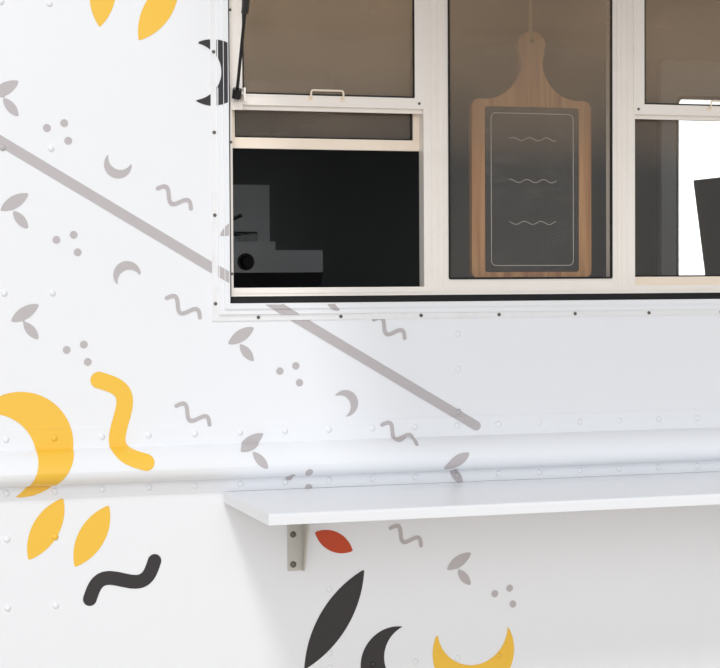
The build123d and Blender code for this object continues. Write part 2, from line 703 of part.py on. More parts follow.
def rear_wall():
    """The rear wall with its doorway and rounded corners."""
    wall = block(BODY_REAR, SIDE_REAR, -HALF_W, HALF_W, SKIRT_Z, EAVES_Z)
    corners = wall.edges().filter_by(Axis.Z).group_by(Axis.X)[0]
    wall = fillet(corners, REAR_CORNER_R)
    for s in (-1, 1):
        wall -= block(BODY_REAR - 1, SIDE_REAR + 1, s * (RAIL_Y - RAIL_FLANGE - 10), s * (RAIL_Y + 10),
                      SKIRT_Z - 1, RAIL_TOP + 10)
    return wall - block(BODY_REAR - 1, SIDE_REAR + 1, -REAR_HALF, REAR_HALF, FLOOR_TOP, REAR_TOP)


def rear_hinge_seat(side):
    """Where a rear door's hinges lie: its pin runs up the door's outer edge."""
    return Plane(origin=(BODY_REAR, side * (REAR_HALF - DOOR_GAP / 2), 0),
                 x_dir=(0, -side, 0), z_dir=(-1, 0, 0))


def rear_door(side):
    """A rear door leaf with its window opening, its hinge leaves and a pull bar."""
    y0, y1 = sorted((side * DOOR_GAP / 2, side * (REAR_HALF - DOOR_GAP)))
    leaf = block(BODY_REAR, BODY_REAR + REAR_DOOR_T, y0, y1, FLOOR_TOP + DOOR_GAP, REAR_TOP - DOOR_GAP)
    mid = side * REAR_HALF / 2
    leaf -= block(BODY_REAR - 1, BODY_REAR + REAR_DOOR_T + 1, mid - LIGHT_HALF, mid + LIGHT_HALF,
                  LIGHT_Z0, LIGHT_Z1)
    grip_y = side * 60
    grip = [block(BODY_REAR - 38, BODY_REAR, grip_y - 9, grip_y + 9, z, z + 16) for z in (1350, 1574)]
    grip.append(bar((BODY_REAR - 38, grip_y, 1340), (BODY_REAR - 38, grip_y, 1600), 10))
    knuckles = rear_knuckles(side, 1)
    return fuse([leaf, *grip, *knuckles])


def rear_knuckles(side, moving):
    """The fixed or moving halves of a rear door's three hinges."""
    halves = []
    for start, end in knuckle_spans(REAR_HINGES, moving):
        y = side * (REAR_HALF - DOOR_GAP / 2)
        reach = -side * LEAF_REACH if moving else side * LEAF_REACH
        pin = bar((BODY_REAR - PIN_LIFT, y, start), (BODY_REAR - PIN_LIFT, y, end), KNUCKLE_R)
        leaf = block(BODY_REAR - LEAF_PLATE, BODY_REAR, y, y + reach, start, end)
        halves.append(pin + leaf)
    return halves


def rear_glass(side):
    """The pane in a rear door."""
    mid = side * REAR_HALF / 2
    x = BODY_REAR + REAR_DOOR_T / 2
    return block(x - PANE_T / 2, x + PANE_T / 2, mid - LIGHT_HALF, mid + LIGHT_HALF, LIGHT_Z0, LIGHT_Z1)


def roof_profile(half, rise, edge):
    """The roof's cross-section: upright edge, rounded shoulder and a gently crowned top."""
    top = EAVES_Z + rise
    shoulder = top - 26
    bend = edge * (1 - cos(radians(45)))
    return Curve() + [
        Line((-half, EAVES_Z), (half, EAVES_Z)),
        Line((half, EAVES_Z), (half, shoulder - edge)),
        ThreePointArc((half, shoulder - edge), (half - bend, shoulder - bend), (half - edge, shoulder)),
        ThreePointArc((half - edge, shoulder), (0, top), (edge - half, shoulder)),
        ThreePointArc((edge - half, shoulder), (bend - half, shoulder - bend), (-half, shoulder - edge)),
        Line((-half, shoulder - edge), (-half, EAVES_Z))]


def roof_shell():
    """The roof: a crowned pressing, rounded over the windscreen and open below."""
    outer = along(roof_profile(HALF_W, ROOF_RISE, ROOF_EDGE_R), BODY_REAR, SCREEN_TOP[0])
    front = outer.edges().group_by(Axis.X)[-1].filter_by(lambda e: e.center().Z > EAVES_Z + 1)
    outer = fillet(front, 70)
    hollow = along(roof_profile(HALF_W - WALL, ROOF_RISE - WALL, ROOF_EDGE_R - 30),
                   BODY_REAR + WALL, SCREEN_TOP[0] - WALL)
    gutter = [(HALF_W - 2, EAVES_Z + 4), (HALF_W + GUTTER_OUT, EAVES_Z + 4),
              (HALF_W + GUTTER_OUT, EAVES_Z + 22), (HALF_W + GUTTER_OUT - 3, EAVES_Z + 22),
              (HALF_W + GUTTER_OUT - 3, EAVES_Z + 8), (HALF_W - 2, EAVES_Z + 8)]
    gutters = both_sides(along(gutter, BODY_REAR + 60, SCREEN_TOP[0] - 90))
    return fuse([outer - hollow, *gutters])


def cab_outline(inset):
    """The cab's side outline, moved inwards by inset."""
    lift = inset * 0.7
    return [(DOOR_X0 - inset, EAVES_Z + inset), (SCREEN_TOP[0] - inset, EAVES_Z + inset),
            (SCREEN_TOP[0] - inset, EAVES_Z), (SCREEN_FOOT[0] - inset, SCREEN_FOOT[1] - lift),
            (HOOD_FRONT[0] - lift, HOOD_FRONT[1] - inset), (NOSE_TOP[0] - inset, NOSE_TOP[1] - lift),
            (NOSE_X - inset, NOSE_LOW - 3 * inset), (FRONT_AXLE + ARCH_R + 10, SKIRT_Z - 3 * inset),
            (DOOR_X0 - inset, SKIRT_Z - 3 * inset)]


def cab_block(inset):
    """The cab as a solid mass, its nose rounded in plan, moved inwards by inset."""
    half = HALF_W - inset
    points = cab_outline(inset)
    if inset == 0:
        points = points[2:-1] + [(DOOR_X0, SKIRT_Z), (DOOR_X0, EAVES_Z)]
    mass = across(points, -half, half)
    plan = Pos((DOOR_X0 + NOSE_X) / 2 - 200 - inset, 0, 0) * RectangleRounded(
        NOSE_X - DOOR_X0 + 400, 2 * half, NOSE_R - inset)
    return mass & extrude(plan, amount=4000)


def cab_shell():
    """The cab: windscreen frame, wings, nose and door headers in one hollow shell."""
    shell = cab_block(0) - cab_block(WALL)
    for s in (-1, 1):
        shell -= block(DOOR_X0 - 1, DOOR_X1, s * (INNER_W - 10), s * (HALF_W + 10), SKIRT_Z - 10, DOOR_TOP)
        shell -= arch_cutter(FRONT_AXLE, s)
        shell -= block(SCREEN_TOP[0] - 140, SCREEN_FOOT[0] + 140, s * SCREEN_POST / 2, s * SCREEN_HALF,
                       SCREEN_Z0, SCREEN_Z1)
        shell -= bar((NOSE_X - 60, s * LAMP_Y, LAMP_Z), (NOSE_X + 10, s * LAMP_Y, LAMP_Z), LAMP_R)
    shell -= block(NOSE_X - 60, NOSE_X + 10, -GRILLE_HALF, GRILLE_HALF, GRILLE_Z0, GRILLE_Z1)
    shell -= block(HOOD_X0, HOOD_X1, -HOOD_HALF, HOOD_HALF, 1200, 1500)
    flanges = [arch_flange(FRONT_AXLE, s) for s in (-1, 1)]
    seat = hood_seat()
    return fuse([shell, *flanges, *hinge_half(seat, knuckle_spans(HOOD_HINGES, 0), -LEAF_REACH)])


def hood_slope():
    """How far the hood's surface drops for each millimetre forward."""
    return (SCREEN_FOOT[1] - HOOD_FRONT[1]) / (HOOD_FRONT[0] - SCREEN_FOOT[0])


def hood_surface(x):
    """The height of the hood's surface at x."""
    return SCREEN_FOOT[1] - hood_slope() * (x - SCREEN_FOOT[0])


def hood_seat():
    """Where the hood's hinges lie: on its surface, in the middle of its rear gap."""
    x = HOOD_X0 + DOOR_GAP / 2
    return Plane(origin=(x, 0, hood_surface(x)), x_dir=(1, 0, -hood_slope()),
                 z_dir=(hood_slope(), 0, 1))


def hood():
    """The hood: a sloping lid over the engine bay, hinged along the windscreen's foot."""
    x0, x1 = HOOD_X0 + DOOR_GAP, HOOD_X1 - DOOR_GAP
    lid = across([(x0, hood_surface(x0)), (x1, hood_surface(x1)), (x1, hood_surface(x1) - HOOD_T),
                  (x0, hood_surface(x0) - HOOD_T)], -HOOD_HALF + DOOR_GAP, HOOD_HALF - DOOR_GAP)
    halves = hinge_half(hood_seat(), knuckle_spans(HOOD_HINGES, 1), LEAF_REACH)
    return fuse([lid, *halves])


def windscreen():
    """The two windscreen panes, set in the middle of their frame."""
    lean = (SCREEN_FOOT[0] - SCREEN_TOP[0]) / (SCREEN_TOP[1] - SCREEN_FOOT[1])
    x0 = SCREEN_TOP[0] + lean * (EAVES_Z - SCREEN_Z0) - WALL / 2
    x1 = SCREEN_TOP[0] + lean * (EAVES_Z - SCREEN_Z1) - WALL / 2
    pane = across([(x0, SCREEN_Z0), (x0 + 6, SCREEN_Z0), (x1 + 6, SCREEN_Z1), (x1, SCREEN_Z1)],
                  SCREEN_POST / 2, SCREEN_HALF)
    return both_sides(pane)


def grille():
    """The grille: a frame with level bars, set in the nose."""
    frame = block(NOSE_X - 30, NOSE_X + 8, -GRILLE_HALF, GRILLE_HALF, GRILLE_Z0, GRILLE_Z1)
    frame -= block(NOSE_X - 31, NOSE_X + 9, -GRILLE_HALF + 22, GRILLE_HALF - 22, GRILLE_Z0 + 22, GRILLE_Z1 - 22)
    pieces = [frame]
    count = 7
    pitch = (GRILLE_Z1 - GRILLE_Z0 - 44) / count
    for n in range(1, count):
        z = GRILLE_Z0 + 22 + n * pitch
        pieces.append(block(NOSE_X - 22, NOSE_X + 4, -GRILLE_HALF + 20, GRILLE_HALF - 20, z - 5, z + 5))
    pieces.append(block(NOSE_X - 22, NOSE_X + 4, -6, 6, GRILLE_Z0 + 20, GRILLE_Z1 - 20))
    return fuse(pieces)


def headlamps():
    """A round lamp with a domed lens and its bezel on each side of the grille."""
    lens = Curve() + [Line((0, -30), (LAMP_R, -30)), Line((LAMP_R, -30), (LAMP_R, 6)),
                      Line((LAMP_R, 6), (LAMP_R - 14, 10)),
                      crown(LAMP_R - 14, 10, 26), Line((0, 26), (0, -30))]
    lamp = revolve(make_face(lens), Axis.Y, 360)
    turned = Pos(NOSE_X, LAMP_Y, LAMP_Z) * (Rot(0, 0, -90) * lamp)
    return both_sides(turned)


def front_bumper():
    """A pressed steel bumper with turned-back ends, on brackets that carry the towing eyes."""
    front, half = LENGTH / 2, HALF_W - 30
    outer = block(front - 120, front, -half, half, 470, 690)
    outer = fillet(outer.edges().filter_by(Axis.Z).group_by(Axis.X)[-1], 100)
    hollow = block(front - 130, front - 10, -half + 10, half - 10, 482, 678)
    hollow = fillet(hollow.edges().filter_by(Axis.Z).group_by(Axis.X)[-1], 90)
    shell = outer - hollow
    web = RAIL_Y - RAIL_WEB
    arms = both_sides(block(RAIL_FRONT - 50, front - 8, web - 50, web, 600, 660))
    eyes = []
    for s in (-1, 1):
        eye = across([(front - 160, 640), (front - 60, 640), (front - 60, 420), (front - 80, 400),
                      (front - 140, 400), (front - 160, 420)], *sorted((s * 360, s * 380)))
        eye -= bar((front - 110, s * 350, 445), (front - 110, s * 390, 445), 20)
        eyes.append(eye)
    return fuse([shell, *arms, *eyes])


def rear_bumper():
    """A step bumper across the back, on two arms from the frame, with the plate's holes."""
    rear, half = -LENGTH / 2, HALF_W - 180
    step = block(rear, BODY_REAR - 4, -half, half, 450, 520)
    step = fillet(step.edges().filter_by(Axis.Z).group_by(Axis.X)[0], 40)
    web = RAIL_Y - RAIL_WEB
    arms = both_sides(block(BODY_REAR - 10, RAIL_REAR - 4, web - 40, web, 450, 700))
    arms += both_sides(block(BODY_REAR - 10, RAIL_REAR + 70, web - 40, web, 580, 700))
    plate = block(rear + 30, rear + 36, -165, 165, 300, 455)
    for y in (-89, 89):
        plate -= bar((rear + 20, y, 340), (rear + 50, y, 340), 4)
    return fuse([step, *arms, plate])


def tail_lamps():
    """A stack of three round lamps at each rear corner."""
    lamps = []
    for z in (1500, 1380, 1260):
        lamp = lathe([(0, 0), (52, 0), (52, 8), (46, 10), (44, 18), (20, 22), (0, 22)])
        lamps += both_sides(Pos(BODY_REAR, HALF_W - 120, z) * (Rot(0, 0, 90) * lamp))
    return lamps


def marker_lamps():
    """Five small lamps over the windscreen and five over the rear doors."""
    places = (-HALF_W + 150, -150, 0, 150, HALF_W - 150)
    lean = (SCREEN_FOOT[0] - SCREEN_TOP[0]) / (SCREEN_TOP[1] - SCREEN_FOOT[1])
    z = (SCREEN_Z1 + EAVES_Z) / 2
    slope = Plane(origin=(SCREEN_TOP[0] + lean * (EAVES_Z - z), 0, z), x_dir=(0, 1, 0), z_dir=(1, 0, lean))
    rear = Plane(origin=(BODY_REAR, 0, EAVES_Z - 80), x_dir=(0, 1, 0), z_dir=(-1, 0, 0))
    body = Pos(0, 0, 11) * Box(64, 34, 22)
    lens = fillet(body.edges().group_by(Axis.Z)[-1], 9)
    return [seat * (Pos(y, 0, 0) * lens) for seat in (slope, rear) for y in places]


def mirrors():
    """A door mirror on a tubular loop at each side of the windscreen."""
    x, y = SCREEN_TOP[0] - 200, HALF_W + 190
    pieces = []
    for z in (1650, 2180):
        pieces.append(bar((x, HALF_W + 4, z), (x + 60, y, z), 9))
        pieces.append(bar((x, HALF_W, z), (x, HALF_W + 8, z), 26))
    pieces.append(bar((x + 60, y, 1640), (x + 60, y, 2190), 9))
    head = block(x + 30, x + 90, y - 85, y + 85, 1730, 2110)
    head = fillet(head.edges().filter_by(Axis.X), 30)
    head = fillet(head.edges().group_by(Axis.X)[-1], 18)
    return both_sides(fuse([*pieces, head]))


def door_tracks():
    """The overhead channel that each cab door hangs in."""
    y0, y1 = INNER_W - DOOR_GAP - DOOR_T / 2 - TRACK_W / 2, INNER_W
    z0 = DOOR_TOP + 16
    x0 = DOOR_X0 - DOOR_LAP - (DOOR_X1 - DOOR_X0) - 10
    track = block(x0, DOOR_X1 + DOOR_LAP + 10, y0, y1, z0, z0 + TRACK_H)
    mid = INNER_W - DOOR_GAP - DOOR_T / 2
    slot = TONGUE_T / 2 + TRACK_CLEAR
    track -= block(x0 - 1, DOOR_X1 + DOOR_LAP + 11, mid - slot, mid + slot, z0 - 1,
                   z0 - DOOR_GAP + TONGUE_H + TRACK_CLEAR)
    return both_sides(track)


def cab_door(side):
    """A sliding cab door with its window opening and the tongue that runs in the track."""
    x0, x1 = DOOR_X0 - DOOR_LAP, DOOR_X1 + DOOR_LAP
    y1 = INNER_W - DOOR_GAP
    y0 = y1 - DOOR_T
    z1 = DOOR_TOP + 16 - DOOR_GAP
    panel = block(x0, x1, y0, y1, SKIRT_Z + 5, z1)
    panel -= block(*door_light(), y0 - 1, y1 + 1, 1450, 2330)
    mid = (y0 + y1) / 2
    tongue = block(x0 + 20, x1 - 20, mid - TONGUE_T / 2, mid + TONGUE_T / 2, z1, z1 + TONGUE_H)
    panel -= block(DOOR_X1 - 130, DOOR_X1 - 50, y1 - 20, y1 + 1, 1160, 1330)
    pressing = block(DOOR_X0 + 60, DOOR_X1 - 180, y1 - 3, y1 + 1, 640, 1360)
    panel -= fillet(pressing.edges().filter_by(Axis.Y), 40)
    grip = block(DOOR_X1 - 98, DOOR_X1 - 82, y1 - 14, y1 - 2, 1160, 1330)
    door = fuse([panel, tongue, grip])
    return door if side > 0 else mirror(door, about=Plane.XZ)


def door_light():
    """The fore and aft edges of a cab door's window."""
    return DOOR_X0 + 45, DOOR_X1 - 60


def door_glass(side):
    """The pane in a cab door."""
    mid = INNER_W - DOOR_GAP - DOOR_T / 2
    pane = block(*door_light(), mid - PANE_T / 2, mid + PANE_T / 2, 1450, 2330)
    return pane if side > 0 else mirror(pane, about=Plane.XZ)


# Serving window

def out(w):
    """The Y of a point that stands w outside the serving wall's skin."""
    return -HALF_W - w


def trim_strip():
    """The flat screwed strip round the opening."""
    return frame_ring(RIM_HALF, RIM_Z0, RIM_Z1, STRIP_W, out(STRIP_T), out(0))


def opening_rim():
    """The painted band inside the strip, stepped in the middle, with its return lip."""
    half, z0, z1 = RIM_HALF - STRIP_W, RIM_Z0 + STRIP_W, RIM_Z1 - STRIP_W
    low = frame_ring(half, z0, z1, BAND_W, out(BAND_T - BAND_STEP), out(0))
    step = BAND_W / 2
    high = frame_ring(half - step, z0 + step, z1 - step, BAND_W - step, out(BAND_T), out(0))
    lip_out = BAND_W - LIP_T
    lip = frame_ring(half - lip_out, z0 + lip_out, z1 - lip_out, LIP_T, out(0), out(-WALL))
    return fuse([low, high, lip])


def unit_size():
    """The window unit's half width and its lower and upper edge."""
    rim = STRIP_W + BAND_W
    return RIM_HALF - rim - UNIT_GAP_X, RIM_Z0 + rim + UNIT_GAP_Z, RIM_Z1 - rim - UNIT_GAP_Z


def window_gasket():
    """The rubber that closes the gap between the opening and the window unit."""
    half, z0, z1 = unit_size()
    outer = block(WIN_X - half - UNIT_GAP_X, WIN_X + half + UNIT_GAP_X, out(-RECESS - 4), out(-RECESS - 16),
                  z0 - UNIT_GAP_Z, z1 + UNIT_GAP_Z)
    hole = block(WIN_X - half, WIN_X + half, out(-RECESS), out(-RECESS - 20), z0, z1)
    return outer - hole


def bays():
    """The three bays as (left, right) edges, from the window's middle, between jambs and mullions."""
    jamb = unit_size()[0] - JAMB
    near, far = MULLION_X - MULLION / 2, MULLION_X + MULLION / 2
    return [(-jamb, -far), (-near, near), (far, jamb)]


def mullion_ridges():
    """Three fine upright ridges on the face of each mullion."""
    _, z0, z1 = unit_size()
    ridges = []
    for side in (-1, 1):
        for off in RIDGES:
            x = WIN_X + side * (MULLION_X - off)
            ridges.append(block(x - 0.8, x + 0.8, out(-RECESS - 1), out(-RECESS - 3), z0 + SILL_RISE, z1 - HEAD))
    return ridges


def upper_sash(left, right):
    """A fixed upper sash in the outer track: its stiles, its lower rail with a bead, and the rain lip."""
    _, _, z1 = unit_size()
    x0, x1 = WIN_X + left, WIN_X + right
    y0, y1 = out(-RECESS + 1), out(-RECESS - 16)
    over = STILE_OVER if right < 0 else 0
    back = STILE_OVER if right > 0 else 0
    ring = block(x0 - back, x1 + over, y0, y1, MEETING_Z, z1 - HEAD)
    ring -= block(x0 + STILE, x1 - STILE + 1, y0 - 1, y1 + 1, MEETING_Z + SASH_RAIL, z1 - HEAD + 1)
    bead = block(x0 + STILE - 4, x1 - STILE + 4, y0 - 1.5, y0 + 1, MEETING_Z + SASH_RAIL - 4,
                 MEETING_Z + SASH_RAIL - 1.5)
    lip = across([(x0, MEETING_Z - 10), (x1, MEETING_Z - 10), (x1, MEETING_Z - 3), (x0, MEETING_Z - 3)],
                 out(-RECESS - 16), out(-RECESS - 12))
    web = block(x0, x1, out(-RECESS - 14), y1, MEETING_Z - 4, MEETING_Z + 1)
    return [ring, bead, lip, web]


def window_frame():
    """The aluminium frame: thin jambs, head, sill with its drip groove, mullions and fixed sashes."""
    half, z0, z1 = unit_size()
    y0, y1 = out(-RECESS), out(-RECESS - FRAME_DEPTH)
    ring = block(WIN_X - half, WIN_X + half, y0, y1, z0, z1)
    for left, right in bays():
        ring -= block(WIN_X + left, WIN_X + right, y0 - 1, y1 + 1, z0 + SILL_RISE, z1 - HEAD)
    for side in (-1, 1):
        x = sorted((WIN_X + side * (MULLION_X - MULLION / 2 - 1), WIN_X + side * (MULLION_X + MULLION / 2 + 1)))
        ring -= block(*x, y0 - 1, out(-RECESS - 3), z0 + SILL_RISE, z1 - HEAD)
    groove = block(WIN_X - half - 1, WIN_X + half + 1, y0 - 1, y0 + 3, z0 + 4.5, z0 + 6.5)
    pieces = [ring - groove, *mullion_ridges()]
    for left, right in (bays()[0], bays()[2]):
        pieces += upper_sash(left, right)
    near = MULLION_X - MULLION / 2
    for low in (z0 + SILL_RISE, z1 - HEAD - LIGHT_RAIL):
        pieces.append(block(WIN_X - near, WIN_X + near, out(-RECESS - 4), out(-RECESS - 18), low,
                            low + LIGHT_RAIL))
    return fuse(pieces)


def sash(bay, lift):
    """A sliding sash in the inner track: four bars round its pane, and the pane's own edges."""
    left, right = bays()[bay]
    x0, x1 = WIN_X + left - TRACK_LAP, WIN_X + right + TRACK_LAP
    y0, y1 = out(-RECESS - FRAME_DEPTH), out(-RECESS - FRAME_DEPTH - 12)
    z0 = unit_size()[1] + SILL_RISE - 4 + lift
    z1 = z0 + MEETING_Z + SASH_RAIL - unit_size()[1] - SILL_RISE
    pane = (x0 + SASH_STILE, x1 - SASH_STILE, z0 + SASH_RAIL, z1 - SASH_RAIL)
    ring = block(x0, x1, y0, y1, z0, z1) - block(pane[0], pane[1], y0 - 1, y1 + 1, pane[2], pane[3])
    shelf = block(x0 + 160, x1 - 160, y1, y1 + 9, z0 + 2, z0 + 5)
    lip = block(x0 + 160, x1 - 160, y1 + 6, y1 + 9, z0 + 2, z0 + 14)
    return ring, pane, shelf + lip


def window_sashes():
    """The lower sashes: the left one raised for serving, the right one shut."""
    return [fuse([bars, pull]) for bars, _, pull in (sash(0, SASH_LIFT), sash(2, 0))]


def window_glass():
    """Every pane of the serving window: two upper lights, the middle light, two sash panes."""
    _, z0, z1 = unit_size()
    y0 = out(-RECESS - 7)
    panes = []
    for n, (left, right) in enumerate(bays()):
        low = z0 + SILL_RISE + LIGHT_RAIL if n == 1 else MEETING_Z + SASH_RAIL
        high = z1 - HEAD - LIGHT_RAIL if n == 1 else z1 - HEAD
        side = 0 if n == 1 else STILE
        trim = 0 if n == 1 else STILE - 1
        panes.append(block(WIN_X + left + side, WIN_X + right - trim, y0 - PANE_T, y0, low, high))
    for bay, lift in ((0, SASH_LIFT), (2, 0)):
        x0, x1, low, high = sash(bay, lift)[1]
        y = out(-RECESS - FRAME_DEPTH - 9)
        panes.append(block(x0, x1, y, y + PANE_T, low, high))
    return panes


# Hatch, modelled shut and then swung up about its pin

def hatch_pin():
    """The hatch's hinge line as (y, z)."""
    return out(HATCH_SEAT + HATCH_T + PIN_LIFT), RIM_Z1 + HATCH_GAP + 2


def swing_open(shape):
    """Swings a piece of the shut hatch up to where the struts hold it."""
    y, z = hatch_pin()
    return Pos(0, y, z) * (Rot(-HATCH_OPEN, 0, 0) * (Pos(0, -y, -z) * shape))


def open_point(y, z):
    """Where a point of the shut hatch lies when it is open, as (y, z)."""
    py, pz = hatch_pin()
    a = radians(-HATCH_OPEN)
    dy, dz = y - py, z - pz
    return py + dy * cos(a) - dz * sin(a), pz + dy * sin(a) + dz * cos(a)


def hatch_size():
    """The shut hatch's half width, and its lower and upper edge."""
    pz = hatch_pin()[1]
    return RIM_HALF + 8, RIM_Z0 - 12, pz - HATCH_GAP / 2


def hatch_knuckles(moving):
    """The fixed or moving halves of the hatch's hinges, along the header's face."""
    y, z = hatch_pin()
    face = out(HATCH_SEAT + HATCH_T)
    halves = []
    for start, end in knuckle_spans(HATCH_HINGES, moving):
        reach = -LEAF_REACH if moving else LEAF_REACH
        pin = bar((WIN_X + start, y, z), (WIN_X + end, y, z), KNUCKLE_R)
        leaf = block(WIN_X + start, WIN_X + end, face - LEAF_PLATE, face, z, z + reach)
        halves.append(pin + leaf)
    return halves


def hatch_header():
    """The rail over the opening that carries the hatch's hinges and sheds rain."""
    half = hatch_size()[0]
    z0 = hatch_pin()[1] + HATCH_GAP / 2
    rail = block(WIN_X - half, WIN_X + half, out(HATCH_SEAT + HATCH_T), out(0), z0, z0 + HEADER_H)
    return fuse([rail, *hatch_knuckles(0)])


def hatch_latch(x, y, z):
    """A turn latch on the shut hatch's face: a round boss and its folded grip."""
    boss = bar((x, y + 2, z), (x, y - 7, z), 21)
    grip = bar((x, y - 5, z), (x, y - 18, z), 8) + block(x - 42, x + 42, y - 18, y - 26, z - 7, z + 7)
    return boss + grip


def serving_hatch():
    """The hatch: a framed panel with a pan on its inside, and ears for the two struts."""
    half, z0, z1 = hatch_size()
    inner, outer = out(HATCH_SEAT), out(HATCH_SEAT + HATCH_T)
    panel = block(WIN_X - half, WIN_X + half, outer, inner, z0, z1)
    panel -= block(WIN_X - half + 60, WIN_X + half - 60, inner - 22, inner + 1, z0 + 60, z1 - 60)
    for n in (-1, 1):
        x = WIN_X + n * half / 3
        panel += block(x - 22, x + 22, inner - 23, inner - 8, z0 + 59, z1 - 59)
        panel += hatch_latch(WIN_X + n * (half - 180), outer, z0 + 34)
    ears = []
    for s in (-1, 1):
        x = WIN_X + s * (STRUT_X + TUBE_R + 3)
        z = hatch_pin()[1] - STRUT_ARM
        ears.append(block(x, x + s * 5, inner, inner + STRUT_INSET + 10, z - 14, z + 14))
    return swing_open(fuse([panel, *ears, *hatch_knuckles(1)]))


def strut_top():
    """The strut's upper pivot on the open hatch, as (y, z)."""
    return open_point(out(HATCH_SEAT - STRUT_INSET), hatch_pin()[1] - STRUT_ARM)


def strut_foot():
    """The strut's lower pivot at the window's jamb, as (y, z)."""
    return out(STRUT_W), STRUT_Z


def strut_points():
    """Unit direction from the strut's top to its foot, and the length between them."""
    (ty, tz), (fy, fz) = strut_top(), strut_foot()
    run = Vector(0, fy - ty, fz - tz)
    return run.normalized(), run.length


def strut_tubes():
    """The gas struts' cylinders, each hung on a pin in its hatch ear."""
    heading, _ = strut_points()
    ty, tz = strut_top()
    tubes = []
    for s in (-1, 1):
        x = WIN_X + s * STRUT_X
        top = Vector(x, ty, tz)
        body = bar(tuple(top), tuple(top + heading * TUBE_L), TUBE_R)
        socket = bar((x - 9, ty, tz), (x + 9, ty, tz), 9)
        pin = bar((x, ty, tz), (x + s * (TUBE_R + 2.7), ty, tz), 4)
        bored = fuse([body, socket, pin])
        bored -= bar(tuple(top + heading * 20), tuple(top + heading * (TUBE_L + 1)), ROD_R + RUN_CLEAR)
        tubes.append(bored)
    return tubes


def strut_rods():
    """The gas struts' rods, each with the block-shaped eye at its foot."""
    heading, length = strut_points()
    ty, tz = strut_top()
    rods = []
    for s in (-1, 1):
        x = WIN_X + s * STRUT_X
        top = Vector(x, ty, tz)
        foot = top + heading * length
        rod = bar(tuple(top + heading * ROD_IN), tuple(foot), ROD_R)
        eye = bar(tuple(foot - heading * (EYE_H / 2)), tuple(foot + heading * (EYE_H / 2)), EYE_W / 2)
        rods.append(fuse([rod, eye]))
    return rods


def strut_brackets():
    """The plates on the window's jambs that the struts' feet stand beside."""
    fy, fz = strut_foot()
    plates = []
    for s in (-1, 1):
        x = WIN_X + s * (STRUT_X - EYE_W / 2 - 3)
        plate = block(x, x - s * 4, fy - 12, out(-RECESS), fz - 16, fz + 12)
        foot = block(x - s * 4, WIN_X + s * (unit_size()[0] - 1), out(-RECESS + 5), out(-RECESS), fz - 34,
                     fz - 16)
        foot += block(x - s * 4, x + s * 4, out(-RECESS + 5), out(-RECESS), fz - 34, fz + 12)
        stub = bar((x, fy, fz), (x + s * 2.7, fy, fz), 4)
        plates.append(fuse([plate, foot, stub]))
    return plates


# Shelf

def shelf_brackets():
    """The wall channels that carry the shelf's pivots."""
    brackets = []
    for x in SHELF_ARM_X:
        x0, x1 = WIN_X + x - 18, WIN_X + x + 18
        web = block(x0, x1, out(4), out(0), 1000, BELT_BOTTOM - 30)
        cheek = along([(out(0), 1000), (out(14), 1000), (out(SHELF_PIVOT_W + 12), SHELF_PIVOT_Z - 6),
                       (out(SHELF_PIVOT_W + 12), SHELF_PIVOT_Z + 12), (out(0), BELT_BOTTOM - 30)],
                      x1 - 4, x1)
        pin = bar((x1 - 18, out(SHELF_PIVOT_W), SHELF_PIVOT_Z), (x1 - 4, out(SHELF_PIVOT_W), SHELF_PIVOT_Z), 5)
        brackets.append(fuse([web, cheek, pin]))
    return brackets


def serving_shelf():
    """The drop-down shelf: a folded top with a lip, on two tapered arms."""
    x0, x1 = WIN_X - SHELF_HALF, WIN_X + SHELF_HALF
    low = SHELF_Z - SHELF_T
    top = block(x0, x1, out(SHELF_OUT), out(SHELF_BACK), low, SHELF_Z)
    top = fillet(top.edges().filter_by(Axis.X).group_by(Axis.Y)[0].group_by(Axis.Z)[-1], 6)
    top -= block(x0 + 4, x1 - 4, out(SHELF_OUT - 4), out(SHELF_BACK + 4), low - 1, SHELF_Z - 4)
    arms = []
    for x in SHELF_ARM_X:
        xc = WIN_X + x
        arm = along([(out(SHELF_PIVOT_W - 12), SHELF_PIVOT_Z - 12), (out(SHELF_PIVOT_W + 30), SHELF_PIVOT_Z - 12),
                     (out(300), low - 10), (out(360), SHELF_Z - 4), (out(SHELF_PIVOT_W - 12), SHELF_Z - 4)],
                    xc + 1, xc + 13)
        arm -= bar((xc, out(SHELF_PIVOT_W), SHELF_PIVOT_Z), (xc + 14, out(SHELF_PIVOT_W), SHELF_PIVOT_Z),
                   5 + RUN_CLEAR)
        arms.append(arm)
    return fuse([top, *arms])


# Inside

def counter():
    """The stainless serving counter under the window, with its shelf, and legs clear of the wheelhouse."""
    x0, x1, y0, y1 = SIDE_REAR + 120, DOOR_X0 - 780, -INNER_W + 6, -INNER_W + 520
    top = block(x0, x1, y0, y1, COUNTER_Z - 40, COUNTER_Z)
    shelf = block(x0, x1, y0, y1, 1150, 1175)
    legs = []
    for x in (x0 + 20, REAR_AXLE - ARCH_R - 60, REAR_AXLE + ARCH_R + 60, x1 - 40):
        for y in (y0 + 20, y1 - 20):
            legs.append(block(x - 20, x + 20, y - 20, y + 20, FLOOR_TOP, COUNTER_Z - 2))
    return fuse([top, shelf, *legs])


def oven_door(x0, x1, y):
    """A proud oven door with its bar handle on two posts."""
    door = fillet(block(x0, x1, y - 8, y, 1040, 1500).edges().filter_by(Axis.Y), 12)
    rail = bar((x0 + 50, y - 46, 1450), (x1 - 50, y - 46, 1450), 9)
    posts = [bar((x, y - 46, 1450), (x, y - 4, 1450), 7) for x in (x0 + 70, x1 - 70)]
    return [door, rail, *posts]


